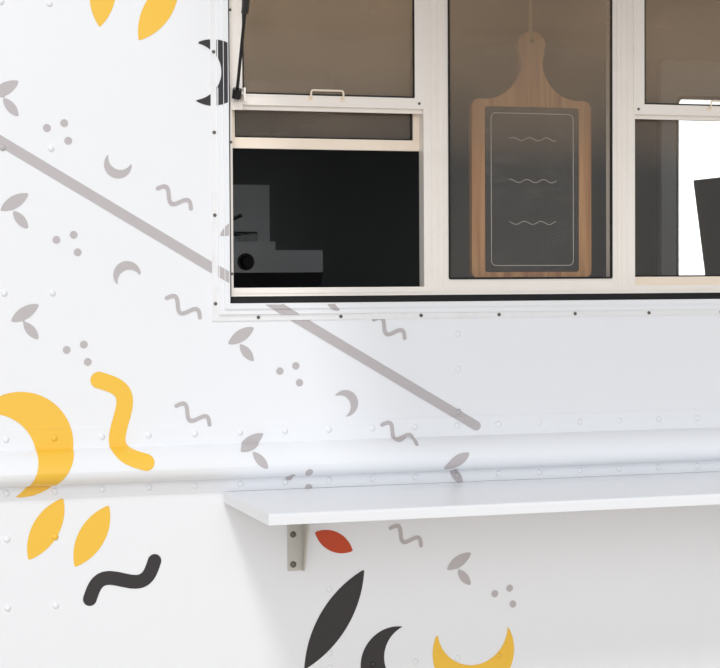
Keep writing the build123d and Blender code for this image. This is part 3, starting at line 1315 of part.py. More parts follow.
def cook_line():
    """The cooking range along the street side: griddle, burners and fryer over three ovens."""
    x0, x1, y0, y1 = COOK_X0, COOK_X0 + COOK_L, COOK_Y, INNER_W - 20
    body = block(x0, x1, y0, y1, 980, COOK_TOP)
    feet = [block(x - 25, x + 25, y - 25, y + 25, FLOOR_TOP, 980)
            for x in (x0 + 60, x0 + 1290, x1 - 60) for y in (y0 + 40, y1 - 60)]
    splash = block(x0, x1, y1 - 20, y1, COOK_TOP, COOK_TOP + 240)
    ledge = along([(y0 - 40, COOK_TOP - 70), (y0, COOK_TOP - 130), (y0, COOK_TOP), (y0 - 40, COOK_TOP)], x0, x1)
    doors = [piece for n in range(3)
             for piece in oven_door(x0 + 40 + n * COOK_L / 3, x0 + (n + 1) * COOK_L / 3 - 40, y0)]
    plate = block(x0 + 100, x0 + 900, y0 + 60, y1 - 60, COOK_TOP, COOK_TOP + 25)
    burners = [bar((x, y, COOK_TOP), (x, y, COOK_TOP + 32), 110)
               for x in (x0 + 1150, x0 + 1450) for y in (y0 + 170, y1 - 190)]
    fx0, fx1, fy0, fy1 = x0 + 1780, x0 + 2280, y0 + 90, y1 - 90
    pot = block(fx0, fx1, fy0, fy1, COOK_TOP, COOK_TOP + 30)
    well = block(fx0 + 20, fx1 - 20, fy0 + 20, fy1 - 20, COOK_TOP - 240, COOK_TOP + 31)
    return fuse([body, *feet, splash, ledge, *doors, plate, *burners, pot]) - well


def exhaust_hood():
    """The canopy over the cooking range, hung from the roof by its duct."""
    x0, x1 = COOK_X0 - 20, COOK_X0 + COOK_L + 20
    front, back, low, top = INNER_W - 780, INNER_W, 2160, 2560
    canopy = along([(front, low), (back, low), (back, top), (front + 400, top), (front, low + 100)], x0, x1)
    canopy -= along([(front + 15, low - 10), (back - 15, low - 10), (back - 15, top - 15),
                     (front + 405, top - 15), (front + 15, low + 90)], x0 + 15, x1 - 15)
    duct = block(FAN_X - 200, FAN_X + 200, back - 340, back - 60, top - 15, EAVES_Z + 60)
    return fuse([canopy, duct])


def roof_fan():
    """The mushroom extractor on the roof over the cooking range, seated on the crown."""
    x, y, low = FAN_X, INNER_W - 420, EAVES_Z + ROOF_RISE + 30
    base = block(x - 240, x + 240, y - 240, y + 240, EAVES_Z + 60, low)
    base -= along(roof_profile(HALF_W, ROOF_RISE, ROOF_EDGE_R), x - 300, x + 300)
    neck = bar((x, y, low), (x, y, low + 50), 200)
    skirt = Pos(x, y, low + 50 + 40) * Cone(300, 330, 80)
    cap = Pos(x, y, low + 50 + 80 + 30) * Cone(330, 170, 60)
    dome = Pos(x, y, low + 50 + 80 + 60 + 14) * Cone(170, 90, 28)
    return fuse([base, neck, skirt, cap, dome])


def refrigerator():
    """An upright refrigerator behind the cooking range: two doors with upright pulls."""
    x0, x1, y = SIDE_REAR + 20, COOK_X0 - 40, COOK_Y
    body = block(x0, x1, y, INNER_W - 20, FLOOR_TOP, 2500)
    doors = [fillet(block(x0 + 8, x1 - 8, y - 26, y, z0, z1).edges().filter_by(Axis.Y), 14)
             for z0, z1 in ((950, 1680), (1692, 2440))]
    pulls = [block(x1 - 60, x1 - 40, y - 62, y - 50, z0, z1) for z0, z1 in ((1300, 1600), (1780, 2080))]
    posts = [block(x1 - 60, x1 - 40, y - 55, y - 20, z, z + 16) for z in (1300, 1584, 1780, 2064)]
    return fuse([body, *doors, *pulls, *posts])


def driver_seat():
    """The driver's seat frame: floor plate, pedestal, seat pan and the shell behind the back pad."""
    x, y0, y1 = DOOR_X0, SEAT_Y - 245, SEAT_Y + 245
    plate = block(x + 120, x + 500, y0 + 60, y1 - 60, FLOOR_TOP, FLOOR_TOP + 12)
    pedestal = block(x + 180, x + 440, y0 + 120, y1 - 120, FLOOR_TOP, 1215)
    pan = fillet(block(x + 70, x + 530, y0 + 10, y1 - 10, 1200, 1240).edges().filter_by(Axis.Z), 40)
    rear = BACK_SEAT * (Pos(-61.3, 0, 20) * Box(12, 430, 640))
    stays = [block(x + 5, x + 110, y - 25, y + 25, 1205, 1225) for y in (SEAT_Y - 150, SEAT_Y + 150)]
    stays += [block(x + 5, x + 34, y - 25, y + 25, 1205, 1420) for y in (SEAT_Y - 150, SEAT_Y + 150)]
    return fuse([plate, pedestal, pan, rear, *stays])


def seat_pads():
    """The driver's seat cushion and backrest as plain closed forms."""
    cushion = block(DOOR_X0 + 80, DOOR_X0 + 540, SEAT_Y - 245, SEAT_Y + 245, 1240, 1350)
    back = BACK_SEAT * Box(110, 490, 620)
    return [fillet(cushion.edges(), 35), fillet(back.edges(), 35)]


def dashboard():
    """The dash across the cab, over the engine cover, with the driver's instrument hood."""
    x, half = SCREEN_FOOT[0] - 900, INNER_W - 20
    dash = across([(x, COVER_TOP), (x + 820, COVER_TOP), (x + 820, 1400), (x + 340, 1440), (x + 80, 1420),
                   (x, 1330)], -half, half)
    cowl = across([(x + 60, 1400), (x + 330, 1430), (x + 330, 1450), (x + 40, 1530), (x + 20, 1520)],
                  SEAT_Y - 210, SEAT_Y + 210)
    return dash + cowl


def steering_wheel():
    """The steering wheel on its column."""
    hub = Vector(SCREEN_FOOT[0] - 1000, SEAT_Y, 1520)
    lean = Vector(0.62, 0, -0.78).normalized()
    column = bar(tuple(hub), tuple(hub + lean * 330), 28)
    seat = Plane(origin=tuple(hub), x_dir=(0, 1, 0), z_dir=tuple(lean))
    ring = seat * Torus(215, 14)
    spokes = [bar(tuple(hub), tuple(seat.from_local_coords(Vector(214 * cos(a), 214 * sin(a), 0))), 9)
              for a in (radians(90), radians(210), radians(330))]
    boss = seat * Cylinder(48, 36)
    return fuse([fuse([column, *spokes, boss]), ring])


# Menu board

def menu_board():
    """A paddle-shaped board hung behind the middle light."""
    x, z0 = WIN_X + 21, 1650
    half, shoulder, top = 151.5, 2066, 2226
    y = out(-RECESS - FRAME_DEPTH - 14)
    edge = Curve() + [
        Line((x - half + 12, z0), (x + half - 12, z0)),
        ThreePointArc((x + half - 12, z0), (x + half - 3.5, z0 + 3.5), (x + half, z0 + 12)),
        Line((x + half, z0 + 12), (x + half, shoulder - 20)),
        ThreePointArc((x + half, shoulder - 20), (x + half - 6, shoulder - 6), (x + half - 20, shoulder)),
        ThreePointArc((x + half - 20, shoulder), (x + 52, shoulder + 28), (x + 27, shoulder + 82)),
        ThreePointArc((x + 27, shoulder + 82), (x + 30, shoulder + 104), (x + 36, top - 36)),
        ThreePointArc((x + 36, top - 36), (x, top), (x - 36, top - 36)),
        ThreePointArc((x - 36, top - 36), (x - 30, shoulder + 104), (x - 27, shoulder + 82)),
        ThreePointArc((x - 27, shoulder + 82), (x - 52, shoulder + 28), (x - half + 20, shoulder)),
        ThreePointArc((x - half + 20, shoulder), (x - half + 6, shoulder - 6), (x - half, shoulder - 20)),
        Line((x - half, shoulder - 20), (x - half, z0 + 12)),
        ThreePointArc((x - half, z0 + 12), (x - half + 3.5, z0 + 3.5), (x - half + 12, z0))]
    view = Plane(origin=(0, y + 18, 0), x_dir=(1, 0, 0), z_dir=(0, -1, 0))
    board = extrude(view * make_face(edge), amount=18, dir=(0, -1, 0))
    return board - bar((x, y - 1, top - 22), (x, y + 19, top - 22), 6)


def menu_hanger():
    """The tight twine loop through the board's hole, and the hook that it hangs from."""
    x, front = WIN_X + 21, out(-RECESS - FRAME_DEPTH - 14)
    hole, hook = 2226 - 22 + 2.6, unit_size()[2] - 20
    strands = [bar((x - 3, front - 2.6, hole), (x - 3, front - 2.6, hook), 2.4),
               bar((x + 3, front + 20.6, hole), (x + 3, front + 20.6, hook), 2.4),
               bar((x - 3, front - 2.6, hole), (x + 3, front + 20.6, hole), 2.4)]
    hook_bar = block(x - 12, x + 12, front - 8, front + 26, hook - 4, hook + 8)
    plate = block(x - 12, x + 12, out(-RECESS - FRAME_DEPTH), front - 8, hook - 4, hook + 8)
    return [fuse([*strands, hook_bar, plate])]


def body_nodes():
    """Every node, by name, as a list of solids."""
    nodes = {
        "chassis_frame": chassis_frame(),
        "leaf_springs": spring_pair(FRONT_AXLE) + spring_pair(REAR_AXLE),
        "front_axle": [front_axle()],
        "rear_axle": [fuse([rear_axle(), propshaft()])],
        "engine_block": [*engine_block(), radiator()],
        "fuel_tank": [fuel_tank()],
        "exhaust_system": [exhaust_system()],
        "knuckle_left": [knuckle(1)],
        "knuckle_right": [knuckle(-1)],
        "floor_deck": [floor_deck(), *wheelhouses(), *step_wells(), engine_cover()],
        "serving_wall": [serving_wall()],
        "street_wall": [fuse([street_wall(), side_vent(), filler_cap()])],
        "belt_rails": belt_rails(),
        "rear_wall": [fuse([rear_wall(), *rear_knuckles(1, 0), *rear_knuckles(-1, 0)])],
        "rear_door_left": [rear_door(1)],
        "rear_door_right": [rear_door(-1)],
        "rear_glass_left": [rear_glass(1)],
        "rear_glass_right": [rear_glass(-1)],
        "roof_shell": [roof_shell()],
        "cab_shell": [fuse([cab_shell(), *door_tracks()])],
        "hood": [hood()],
        "windscreen": windscreen(),
        "grille": [grille()],
        "lamps": headlamps() + tail_lamps() + marker_lamps(),
        "front_bumper": [front_bumper()],
        "rear_bumper": [rear_bumper()],
        "mirrors": mirrors(),
        "cab_door_left": [cab_door(1)],
        "cab_door_right": [cab_door(-1)],
        "cab_door_glass_left": [door_glass(1)],
        "cab_door_glass_right": [door_glass(-1)],
        "trim_strip": [trim_strip()],
        "opening_rim": [opening_rim()],
        "window_gasket": [window_gasket()],
        "window_frame": [fuse([window_frame(), *strut_brackets()])],
        "window_sashes": window_sashes(),
        "window_glass": window_glass(),
        "hatch_header": [hatch_header()],
        "serving_hatch": [serving_hatch()],
        "strut_tubes": strut_tubes(),
        "strut_rods": strut_rods(),
        "shelf_brackets": shelf_brackets(),
        "serving_shelf": [serving_shelf()],
        "counter": [counter()],
        "cook_line": [cook_line(), refrigerator(), exhaust_hood()],
        "roof_fan": [roof_fan()],
        "driver_seat": [driver_seat()],
        "seat_pads": seat_pads(),
        "dashboard": [fuse([dashboard(), steering_wheel()])],
        "menu_board": [menu_board()],
        "menu_hanger": menu_hanger(),
    }
    nodes.update(wheel_nodes())
    return nodes


def main():
    """Moves every node so that the box of the whole truck is centred, and writes it."""
    os.makedirs("parts", exist_ok=True)
    built = {}
    for name, shapes in body_nodes().items():
        built[name] = [s for shape in shapes for s in shape.solids()]
    box = Compound(children=[s for solids in built.values() for s in solids]).bounding_box()
    centre = Pos(-(box.min.X + box.max.X) / 2, -(box.min.Y + box.max.Y) / 2, -box.min.Z)
    for name, solids in built.items():
        export_step(centre * Compound(children=[s for s in solids]), f"parts/{name}.step")
    return built, box


if __name__ == "__main__":
    main()
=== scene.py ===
"""A walk-in food truck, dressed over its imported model.

Every piece is built in metres in the truck's own frame: +X forward, +Y to the street side, +Z up.
"""

import json
import logging
import math
from dataclasses import dataclass, field, replace
from enum import Enum
from functools import cached_property
from typing import Iterable, Sequence

import bmesh
import bpy
import numpy as np
from mathutils import Matrix, Vector
from mathutils.bvhtree import BVHTree

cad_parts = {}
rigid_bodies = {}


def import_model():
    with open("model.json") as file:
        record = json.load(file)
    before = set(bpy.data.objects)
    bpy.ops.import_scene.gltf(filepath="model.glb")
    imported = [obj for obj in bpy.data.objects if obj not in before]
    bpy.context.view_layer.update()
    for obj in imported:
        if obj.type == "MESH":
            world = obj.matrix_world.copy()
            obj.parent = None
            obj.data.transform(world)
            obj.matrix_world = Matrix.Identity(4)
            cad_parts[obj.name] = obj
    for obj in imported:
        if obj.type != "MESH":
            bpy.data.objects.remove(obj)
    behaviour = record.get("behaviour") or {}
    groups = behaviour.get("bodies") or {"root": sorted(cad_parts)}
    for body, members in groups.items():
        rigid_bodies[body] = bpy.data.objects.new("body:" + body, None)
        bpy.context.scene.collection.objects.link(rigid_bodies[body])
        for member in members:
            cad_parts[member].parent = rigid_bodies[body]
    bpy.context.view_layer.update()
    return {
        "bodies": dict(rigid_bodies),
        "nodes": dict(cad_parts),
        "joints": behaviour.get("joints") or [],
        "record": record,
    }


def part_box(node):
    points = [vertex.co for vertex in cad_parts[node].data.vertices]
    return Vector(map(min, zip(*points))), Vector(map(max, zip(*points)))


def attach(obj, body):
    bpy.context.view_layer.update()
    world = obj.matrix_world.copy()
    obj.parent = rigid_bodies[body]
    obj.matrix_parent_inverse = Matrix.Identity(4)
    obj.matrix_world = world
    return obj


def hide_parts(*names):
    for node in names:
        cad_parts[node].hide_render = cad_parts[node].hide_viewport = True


LOG = logging.getLogger("food_truck")
Color = tuple[float, float, float]
Pair = tuple[float, float]
Point = tuple[float, float, float]
Outline = list[Pair]
Spot = tuple[Point, Point]
BMesh = bmesh.types.BMesh
Corner = bmesh.types.BMVert
Object = bpy.types.Object
Material = bpy.types.Material
Tree = bpy.types.NodeTree
Node = bpy.types.Node
Socket = bpy.types.NodeSocket
SIDES = ((-1, "right"), (1, "left"))
WALLS = ((-1, "serving"), (1, "street"))
# Outward from the serving wall, and the window's middle measured from the first rivet column.
OUT = (0.0, -1.0, 0.0)
WINDOW_X = 1.2145


class Layer(Enum):
    """The colours that the vinyl graphics are cut from."""

    GREY = "grey"
    YELLOW = "yellow"
    CHARCOAL = "charcoal"
    ORANGE = "orange"


def srgb(red: int, green: int, blue: int) -> Color:
    """Turns a colour as seen on screen into the linear values that shaders take.

    Args:
        red: Red, 0 to 255.
        green: Green, 0 to 255.
        blue: Blue, 0 to 255.

    Returns:
        The linear colour.
    """
    parts = [v / 255 for v in (red, green, blue)]
    return tuple(p / 12.92 if p <= 0.04045 else ((p + 0.055) / 1.055) ** 2.4 for p in parts)


class Graph:
    """Adds nodes to one node tree and joins them."""

    def __init__(self, tree: Tree) -> None:
        """Keeps the tree that the nodes go into."""
        self.tree = tree

    def add(self, kind: str, values: dict | None = None, **options: object) -> Node:
        """Adds a node.

        Args:
            kind: The node's type name.
            values: Socket names or places, each with a value or with the output that feeds it.
            **options: Settings of the node itself.

        Returns:
            The new node.
        """
        node = self.tree.nodes.new(kind)
        for name, value in options.items():
            setattr(node, name, value)
        for key, value in (values or {}).items():
            socket = node.inputs[key]
            if isinstance(value, Socket):
                self.tree.links.new(value, socket)
            elif isinstance(value, tuple) and socket.type == "RGBA" and len(value) == 3:
                socket.default_value = (*value, 1.0)
            else:
                socket.default_value = value
        return node

    def math(self, operation: str, *values: object) -> Socket:
        """Does one sum with numbers or outputs."""
        return self.add("ShaderNodeMath", dict(enumerate(values)), operation=operation).outputs[0]

    def product(self, first: Socket, *others: object) -> Socket:
        """Multiplies an output by other outputs or numbers."""
        for value in others:
            first = self.math("MULTIPLY", first, value)
        return first

    def mix(self, factor: object, first: object, second: object) -> Socket:
        """Mixes two colours, the factor saying how much of the second."""
        return self.add("ShaderNodeMix", {0: factor, 6: first, 7: second}, data_type="RGBA").outputs[2]

    def blend(self, factor: object, first: Node, second: Node) -> Node:
        """Mixes two shaders, the factor saying how much of the second."""
        return self.add("ShaderNodeMixShader", {0: factor, 1: first.outputs[0], 2: second.outputs[0]})

    def ramp(self, value: Socket, low: float, high: float) -> Socket:
        """Stretches a value so that low becomes 0 and high becomes 1."""
        values = {0: value, 1: low, 2: high, 3: 0.0, 4: 1.0}
        return self.add("ShaderNodeMapRange", values, clamp=True).outputs[0]

    def place(self) -> Socket:
        """The place on the piece, in the truck's own frame."""
        return self.add("ShaderNodeTexCoord").outputs["Object"]

    def axes(self, vector: Socket) -> list[Socket]:
        """A vector's three parts."""
        return list(self.add("ShaderNodeSeparateXYZ", {0: vector}).outputs)

    def scaled(self, vector: Socket, by: object) -> Socket:
        """A vector with each part multiplied by its own number."""
        return self.add("ShaderNodeVectorMath", {0: vector, 1: by}, operation="MULTIPLY").outputs[0]

    def noise(self, vector: Socket, scale: object, detail: float, **others: float) -> Socket:
        """Adds a cloudy noise, read at a place, and gives its value."""
        values = {"Vector": vector, "Scale": scale, "Detail": detail, **others}
        return self.add("ShaderNodeTexNoise", values).outputs[0]

    def bump(self, height: Socket, strength: float, distance: float) -> Socket:
        """Turns a height, its size given in metres, into a normal."""
        return self.add("ShaderNodeBump", {"Height": height, "Strength": strength,
                                           "Distance": distance}).outputs[0]

    def effect(self, tree: Tree, values: dict) -> Node:
        """Places a shared effect with its own values."""
        return self.add("ShaderNodeGroup", values, node_tree=tree)


class EffectGroups:
    """The shader effects that several finishes share, each built once."""

    def __init__(self) -> None:
        """Builds every group."""
        self.weather = self._weather()
        self.grain = self._grain()
        self.ripple = self._ripple()
        self.wear = self._wear()

    def _group(self, name: str, inputs: dict[str, object],
               outputs: dict[str, str]) -> tuple[Graph, list[Socket]]:
        """Makes an empty group with its sockets.

        Args:
            name: The group's name.
            inputs: The default of each input: a number, a direction of three or a colour of four.
            outputs: The kind of each output.

        Returns:
            The group's graph and its inputs' sockets.
        """
        tree = bpy.data.node_groups.new(name, "ShaderNodeTree")
        kinds = {1: "NodeSocketFloat", 3: "NodeSocketVector", 4: "NodeSocketColor"}
        for label, value in inputs.items():
            kind = kinds[len(value) if isinstance(value, tuple) else 1]
            tree.interface.new_socket(label, in_out="INPUT", socket_type=kind).default_value = value
        for label, kind in outputs.items():
            tree.interface.new_socket(label, in_out="OUTPUT", socket_type=kind)
        graph = Graph(tree)
        return graph, list(graph.add("NodeGroupInput").outputs)[:len(inputs)]

    def _weather(self) -> Tree:
        """Makes the group for road dust low down and faint mottling all over.

        Returns:
            The group's tree.
        """
        graph, (color, mottle, dust, dust_height) = self._group(
            "weather", {"Color": (1, 1, 1, 1), "Mottle": 0.03, "Dust": 0.3, "Dust Height": 1.1},
            {"Color": "NodeSocketColor", "Mask": "NodeSocketFloat"})
        where = graph.place()
        broad, fine = graph.noise(where, 1.7, 3.0), graph.noise(where, 26.0, 4.0)
        low = graph.math("DIVIDE", graph.axes(where)[2], dust_height)
        fall = graph.math("POWER", graph.math("MAXIMUM", graph.math("SUBTRACT", 1.0, low), 0.0), 1.6)
        mask = graph.product(fall, graph.ramp(fine, 0.25, 0.75), dust)
        shade = graph.math("ADD", graph.product(graph.math("SUBTRACT", broad, 0.5), mottle), 1.0)
        dusty = graph.mix(mask, graph.scaled(color, shade), srgb(138, 124, 106))
        graph.add("NodeGroupOutput", {"Color": dusty, "Mask": mask})
        return graph.tree

    def _grain(self) -> Tree:
        """Makes the group for a rolled or brushed metal's fine lines.

        Returns:
            The group's tree.
        """
        graph, (stretch, depth) = self._group(
            "metal_grain", {"Stretch": (3.0, 300.0, 300.0), "Depth": 0.1}, {"Height": "NodeSocketFloat"})
        lines = graph.noise(graph.scaled(graph.place(), stretch), 1.0, 3.0)
        graph.add("NodeGroupOutput", {"Height": graph.product(lines, depth)})
        return graph.tree

    def _ripple(self) -> Tree:
        """Makes the group for a thin sheet's slow waves and its paint's fine skin.

        Returns:
            The group's tree.
        """
        graph, (wave, skin) = self._group(
            "sheet_ripple", {"Wave": 0.5, "Skin": 0.05}, {"Height": "NodeSocketFloat"})
        where = graph.place()
        waves = graph.product(graph.noise(where, 2.4, 1.0), wave)
        skin_height = graph.product(graph.noise(where, 420.0, 2.0), skin)
        graph.add("NodeGroupOutput", {"Height": graph.math("ADD", waves, skin_height)})
        return graph.tree

    def _wear(self) -> Tree:
        """Makes the group for small scuffs that lighten a surface.

        Returns:
            The group's tree.
        """
        graph, (color, scuff_color, amount, scale) = self._group(
            "scuffs", {"Color": (0, 0, 0, 1), "Scuff Color": (1, 1, 1, 1), "Amount": 0.3, "Scale": 30.0},
            {"Color": "NodeSocketColor"})
        noise = graph.noise(graph.place(), scale, 6.0, Roughness=0.7)
        spots = graph.product(graph.ramp(noise, 0.52, 0.75), amount)
        graph.add("NodeGroupOutput", {"Color": graph.mix(spots, color, scuff_color)})
        return graph.tree


@dataclass(frozen=True)
class Room:
    """The space inside the body, where the lining is darkened as painted shade for the dim inside."""

    middle_y: float = 0.3837
    half_width: float = 1.1415
    screen_x: float = 3.27
    screen_lean: float = 0.169
    rear_x: float = -3.4215
    roof_z: float = 2.745
    facing_down: float = -0.1


ROOM = Room()


@dataclass(frozen=True)
class Surface:
    """A named finish that can make its shader."""

    name: str

    def shader(self, graph: Graph, groups: EffectGroups) -> Node:
        """Makes the finish's shader.

        Args:
            graph: The material's graph.
            groups: The shared effects.

        Returns:
            The shader's node.
        """
        raise NotImplementedError(self.name)


@dataclass(frozen=True)
class Finish(Surface):
    """One opaque finish, from smooth paint to rough rubber."""

    color: Color
    roughness: float = 0.4
    metallic: float = 0.0
    coat: float = 0.0
    mottle: float = 0.03
    dust: float = 0.0
    dust_height: float = 1.1
    wave: float = 0.0
    skin: float = 0.02
    bump: float = 0.1
    bump_distance: float = 0.002
    grain: Point | None = None
    grain_depth: float = 0.15
    scuff: float = 0.0
    scuff_color: Color = (0.5, 0.5, 0.5)
    scuff_scale: float = 30.0
    # Inside faces take this darker colour: a real lining, painted darker as shade for the dim inside of the
    # body.
    shaded_lining: Color | None = None
    shaded_lining_metal: float = 0.0

    def _inside(self, graph: Graph) -> Socket:
        """Finds the faces that line the body: within its walls, behind the windscreen, under the roof.

        Args:
            graph: The material's graph.

        Returns:
            A mask, 1 inside.
        """
        x, y, z = graph.axes(graph.place())
        normal = graph.add("ShaderNodeNewGeometry").outputs["Normal"]
        off = graph.math("ABSOLUTE", graph.math("SUBTRACT", y, ROOM.middle_y))
        between = graph.math("LESS_THAN", off, ROOM.half_width)
        behind = graph.math("LESS_THAN", graph.math("MULTIPLY_ADD", z, ROOM.screen_lean, x), ROOM.screen_x)
        ahead = graph.math("GREATER_THAN", x, ROOM.rear_x)
        under = graph.math("MAXIMUM", graph.math("LESS_THAN", z, ROOM.roof_z),
                           graph.math("LESS_THAN", graph.axes(normal)[2], ROOM.facing_down))
        return graph.product(between, behind, ahead, under)

    def shader(self, graph: Graph, groups: EffectGroups) -> Node:
        """Makes the finish's shader.

        Args:
            graph: The material's graph.
            groups: The shared effects.

        Returns:
            The shader's node.
        """
        color: object = self.color
        if self.scuff:
            color = graph.effect(groups.wear, {
                "Color": color, "Scuff Color": self.scuff_color, "Amount": self.scuff,
                "Scale": self.scuff_scale}).outputs["Color"]
        weather = graph.effect(groups.weather, {"Color": color, "Mottle": self.mottle, "Dust": self.dust,
                                                "Dust Height": self.dust_height})
        if self.grain:
            relief = graph.effect(groups.grain, {"Stretch": self.grain, "Depth": self.grain_depth})
        else:
            relief = graph.effect(groups.ripple, {"Wave": self.wave, "Skin": self.skin})
        base, metal = weather.outputs["Color"], self.metallic
        # Painted shade: faces inside the body take the darker lining colour.
        if self.shaded_lining:
            mask = self._inside(graph)
            base = graph.mix(mask, base, self.shaded_lining)
            metal = graph.product(mask, self.shaded_lining_metal)
        rough = graph.math("MULTIPLY_ADD", weather.outputs["Mask"], 0.5, self.roughness)
        normal = graph.bump(relief.outputs["Height"], self.bump, self.bump_distance)
        return graph.add("ShaderNodeBsdfPrincipled", {
            "Base Color": base, "Roughness": rough, "Metallic": metal, "Coat Weight": self.coat,
            "Coat Roughness": 0.12, "Normal": normal})


@dataclass(frozen=True)
class GlassFinish(Surface):
    """Clear or tinted window glass with a film of dust and grease on it, and a painted reflection: a warm
    diffuse haze that grows stronger towards the top.
    """

    color: Color
    film_and_reflection: float = 0.1
    # The haze's warm tan is a painted reflection of a sunlit building, laid over the real film of dust and
    # grease.
    haze_reflection_color: Color = srgb(190, 166, 140)
    reflection_z: Pair = (1.9, 2.25)
    least_film: float = 0.06

    def shader(self, graph: Graph, groups: EffectGroups) -> Node:
        """Makes the glass, which lets light through to what lies behind it.

        Args:
            graph: The material's graph.
            groups: The shared effects.

        Returns:
            The shader's node.
        """
        where = graph.place()
        smear = graph.noise(where, 3.0, 5.0)
        height = graph.axes(where)[2]
        # Painted reflection: the haze is weakest below the lower height and full above the upper one; the
        # smeared noise is the real film.
        clear = graph.ramp(height, *self.reflection_z)
        painted_reflection_rise = graph.math("MULTIPLY_ADD", clear, 1 - self.least_film, self.least_film)
        film_and_reflection = graph.math("MULTIPLY_ADD", graph.ramp(smear, 0.3, 0.75), self.film_and_reflection * 0.6, self.film_and_reflection * 0.7)
        glass = graph.add("ShaderNodeBsdfPrincipled", {
            "Base Color": self.color, "Roughness": 0.02, "IOR": 1.45, "Transmission Weight": 1.0})
        through = graph.add("ShaderNodeBsdfTransparent", {"Color": self.color})
        path = graph.add("ShaderNodeLightPath")
        unseen = graph.math("MAXIMUM", path.outputs["Is Shadow Ray"], path.outputs["Is Diffuse Ray"])
        haze_and_reflection = graph.add("ShaderNodeBsdfDiffuse", {"Color": self.haze_reflection_color})
        return graph.blend(graph.product(film_and_reflection, painted_reflection_rise), graph.blend(unseen, glass, through), haze_and_reflection)


WHITE = Finish("white_sheet_paint", srgb(240, 242, 246), 0.36, coat=0.15, mottle=0.03, dust=0.35,
               dust_height=0.95, wave=0.6, skin=0.03, bump=0.12, bump_distance=0.004)
# Both sheets are darkened inside the body: partly a real lining, partly painted shade for the dim inside.
LINED_SHADED = replace(WHITE, name="lined_sheet", shaded_lining=srgb(80, 81, 82), shaded_lining_metal=0.5)
CAB = replace(WHITE, name="cab_sheet", shaded_lining=srgb(96, 95, 92))
ANODISED = Finish("anodised_frame", srgb(253, 247, 240), 0.36, metallic=0.06, mottle=0.05,
                  grain=(260.0, 260.0, 3.0), grain_depth=0.25, bump=0.12, scuff=0.12,
                  scuff_color=srgb(188, 180, 172), scuff_scale=9.0)
# The sash's peach tint is partly champagne anodising and partly a painted reflection of a warm, sunlit
# building.
SASH_WARM_REFLECTION = Finish("anodised_sash", srgb(255, 240, 222), 0.4, metallic=0.04, mottle=0.05,
              grain=(5.0, 260.0, 260.0), grain_depth=0.2, bump=0.12, scuff=0.18,
              scuff_color=srgb(204, 180, 156), scuff_scale=11.0)
STRIP = Finish("mill_strip", srgb(242, 242, 244), 0.34, metallic=0.2, grain=(4.0, 260.0, 260.0), bump=0.15,
               scuff=0.25, scuff_color=srgb(196, 196, 198), scuff_scale=12.0)
FAN = Finish("spun_aluminium", srgb(206, 207, 209), 0.36, metallic=0.75, dust=0.3, dust_height=6.0,
             grain=(160.0, 160.0, 160.0), bump=0.12)
SCREW = Finish("weathered_screw", srgb(112, 107, 101), 0.38, metallic=0.6, mottle=0.3, skin=0.3)
STAINLESS = Finish("stainless_bench", srgb(150, 151, 152), 0.32, metallic=0.9, grain=(4.0, 240.0, 240.0),
                   bump=0.12)
BLACK_PAINT = Finish("black_paint", srgb(32, 32, 34), 0.36, coat=0.2, dust=0.35, skin=0.05)
CHASSIS = Finish("chassis_paint", srgb(30, 30, 31), 0.6, dust=0.8, dust_height=1.3, scuff=0.5,
                 scuff_color=srgb(96, 82, 68), scuff_scale=18.0)
CAST = Finish("cast_steel", srgb(62, 60, 58), 0.55, metallic=0.6, dust=0.7, scuff=0.6,
              scuff_color=srgb(110, 84, 62), scuff_scale=24.0)
PIPE = Finish("exhaust_steel", srgb(138, 130, 120), 0.5, metallic=0.8, dust=0.5, scuff=0.5,
              scuff_color=srgb(120, 86, 60), scuff_scale=14.0)
RUBBER = Finish("tyre_rubber", srgb(44, 43, 42), 0.8, dust=0.35, dust_height=1.0, skin=0.4, bump=0.25,
                scuff=0.25, scuff_color=srgb(88, 84, 78))
GASKET = Finish("gasket_rubber", srgb(18, 18, 19), 0.7, skin=0.3, bump=0.2)
WHEEL = Finish("wheel_enamel", srgb(214, 216, 218), 0.4, coat=0.2, dust=0.7, dust_height=0.9, scuff=0.2,
               scuff_color=srgb(120, 110, 96))
BLACK_PLASTIC = Finish("grained_plastic", srgb(34, 34, 36), 0.55, dust=0.2, skin=0.6, bump=0.3)
VINYL = Finish("seat_vinyl", srgb(40, 40, 42), 0.5, skin=0.7, bump=0.3)
BRIGHT = Finish("bright_rod", srgb(60, 60, 62), 0.2, metallic=1.0, grain=(260.0, 260.0, 6.0))
TUBE = Finish("strut_paint", srgb(24, 24, 25), 0.3, coat=0.3)
TWINE = Finish("hemp_twine", srgb(186, 158, 112), 0.9, skin=2.0, bump=0.6)
GREY_VINYL = Finish("warm_grey_vinyl", srgb(190, 184, 186), 0.36, coat=0.1, mottle=0.04, skin=0.02)
YELLOW_VINYL = Finish("yellow_vinyl", srgb(246, 196, 66), 0.34, coat=0.1, mottle=0.05, skin=0.02)
CHARCOAL_VINYL = Finish("charcoal_vinyl", srgb(46, 42, 45), 0.34, coat=0.1, mottle=0.05, skin=0.02)
ORANGE_VINYL = Finish("orange_vinyl", srgb(198, 66, 14), 0.34, coat=0.1, mottle=0.05, skin=0.02)
VINYLS = {Layer.GREY: GREY_VINYL, Layer.YELLOW: YELLOW_VINYL, Layer.CHARCOAL: CHARCOAL_VINYL,
          Layer.ORANGE: ORANGE_VINYL}
CLEAR = GlassFinish("clear_pane", (0.93, 0.93, 0.91), 0.44)
CAB_GLASS = GlassFinish("cab_pane", (0.88, 0.9, 0.89), 0.05)
DARK = GlassFinish("tinted_pane", (0.34, 0.37, 0.36))
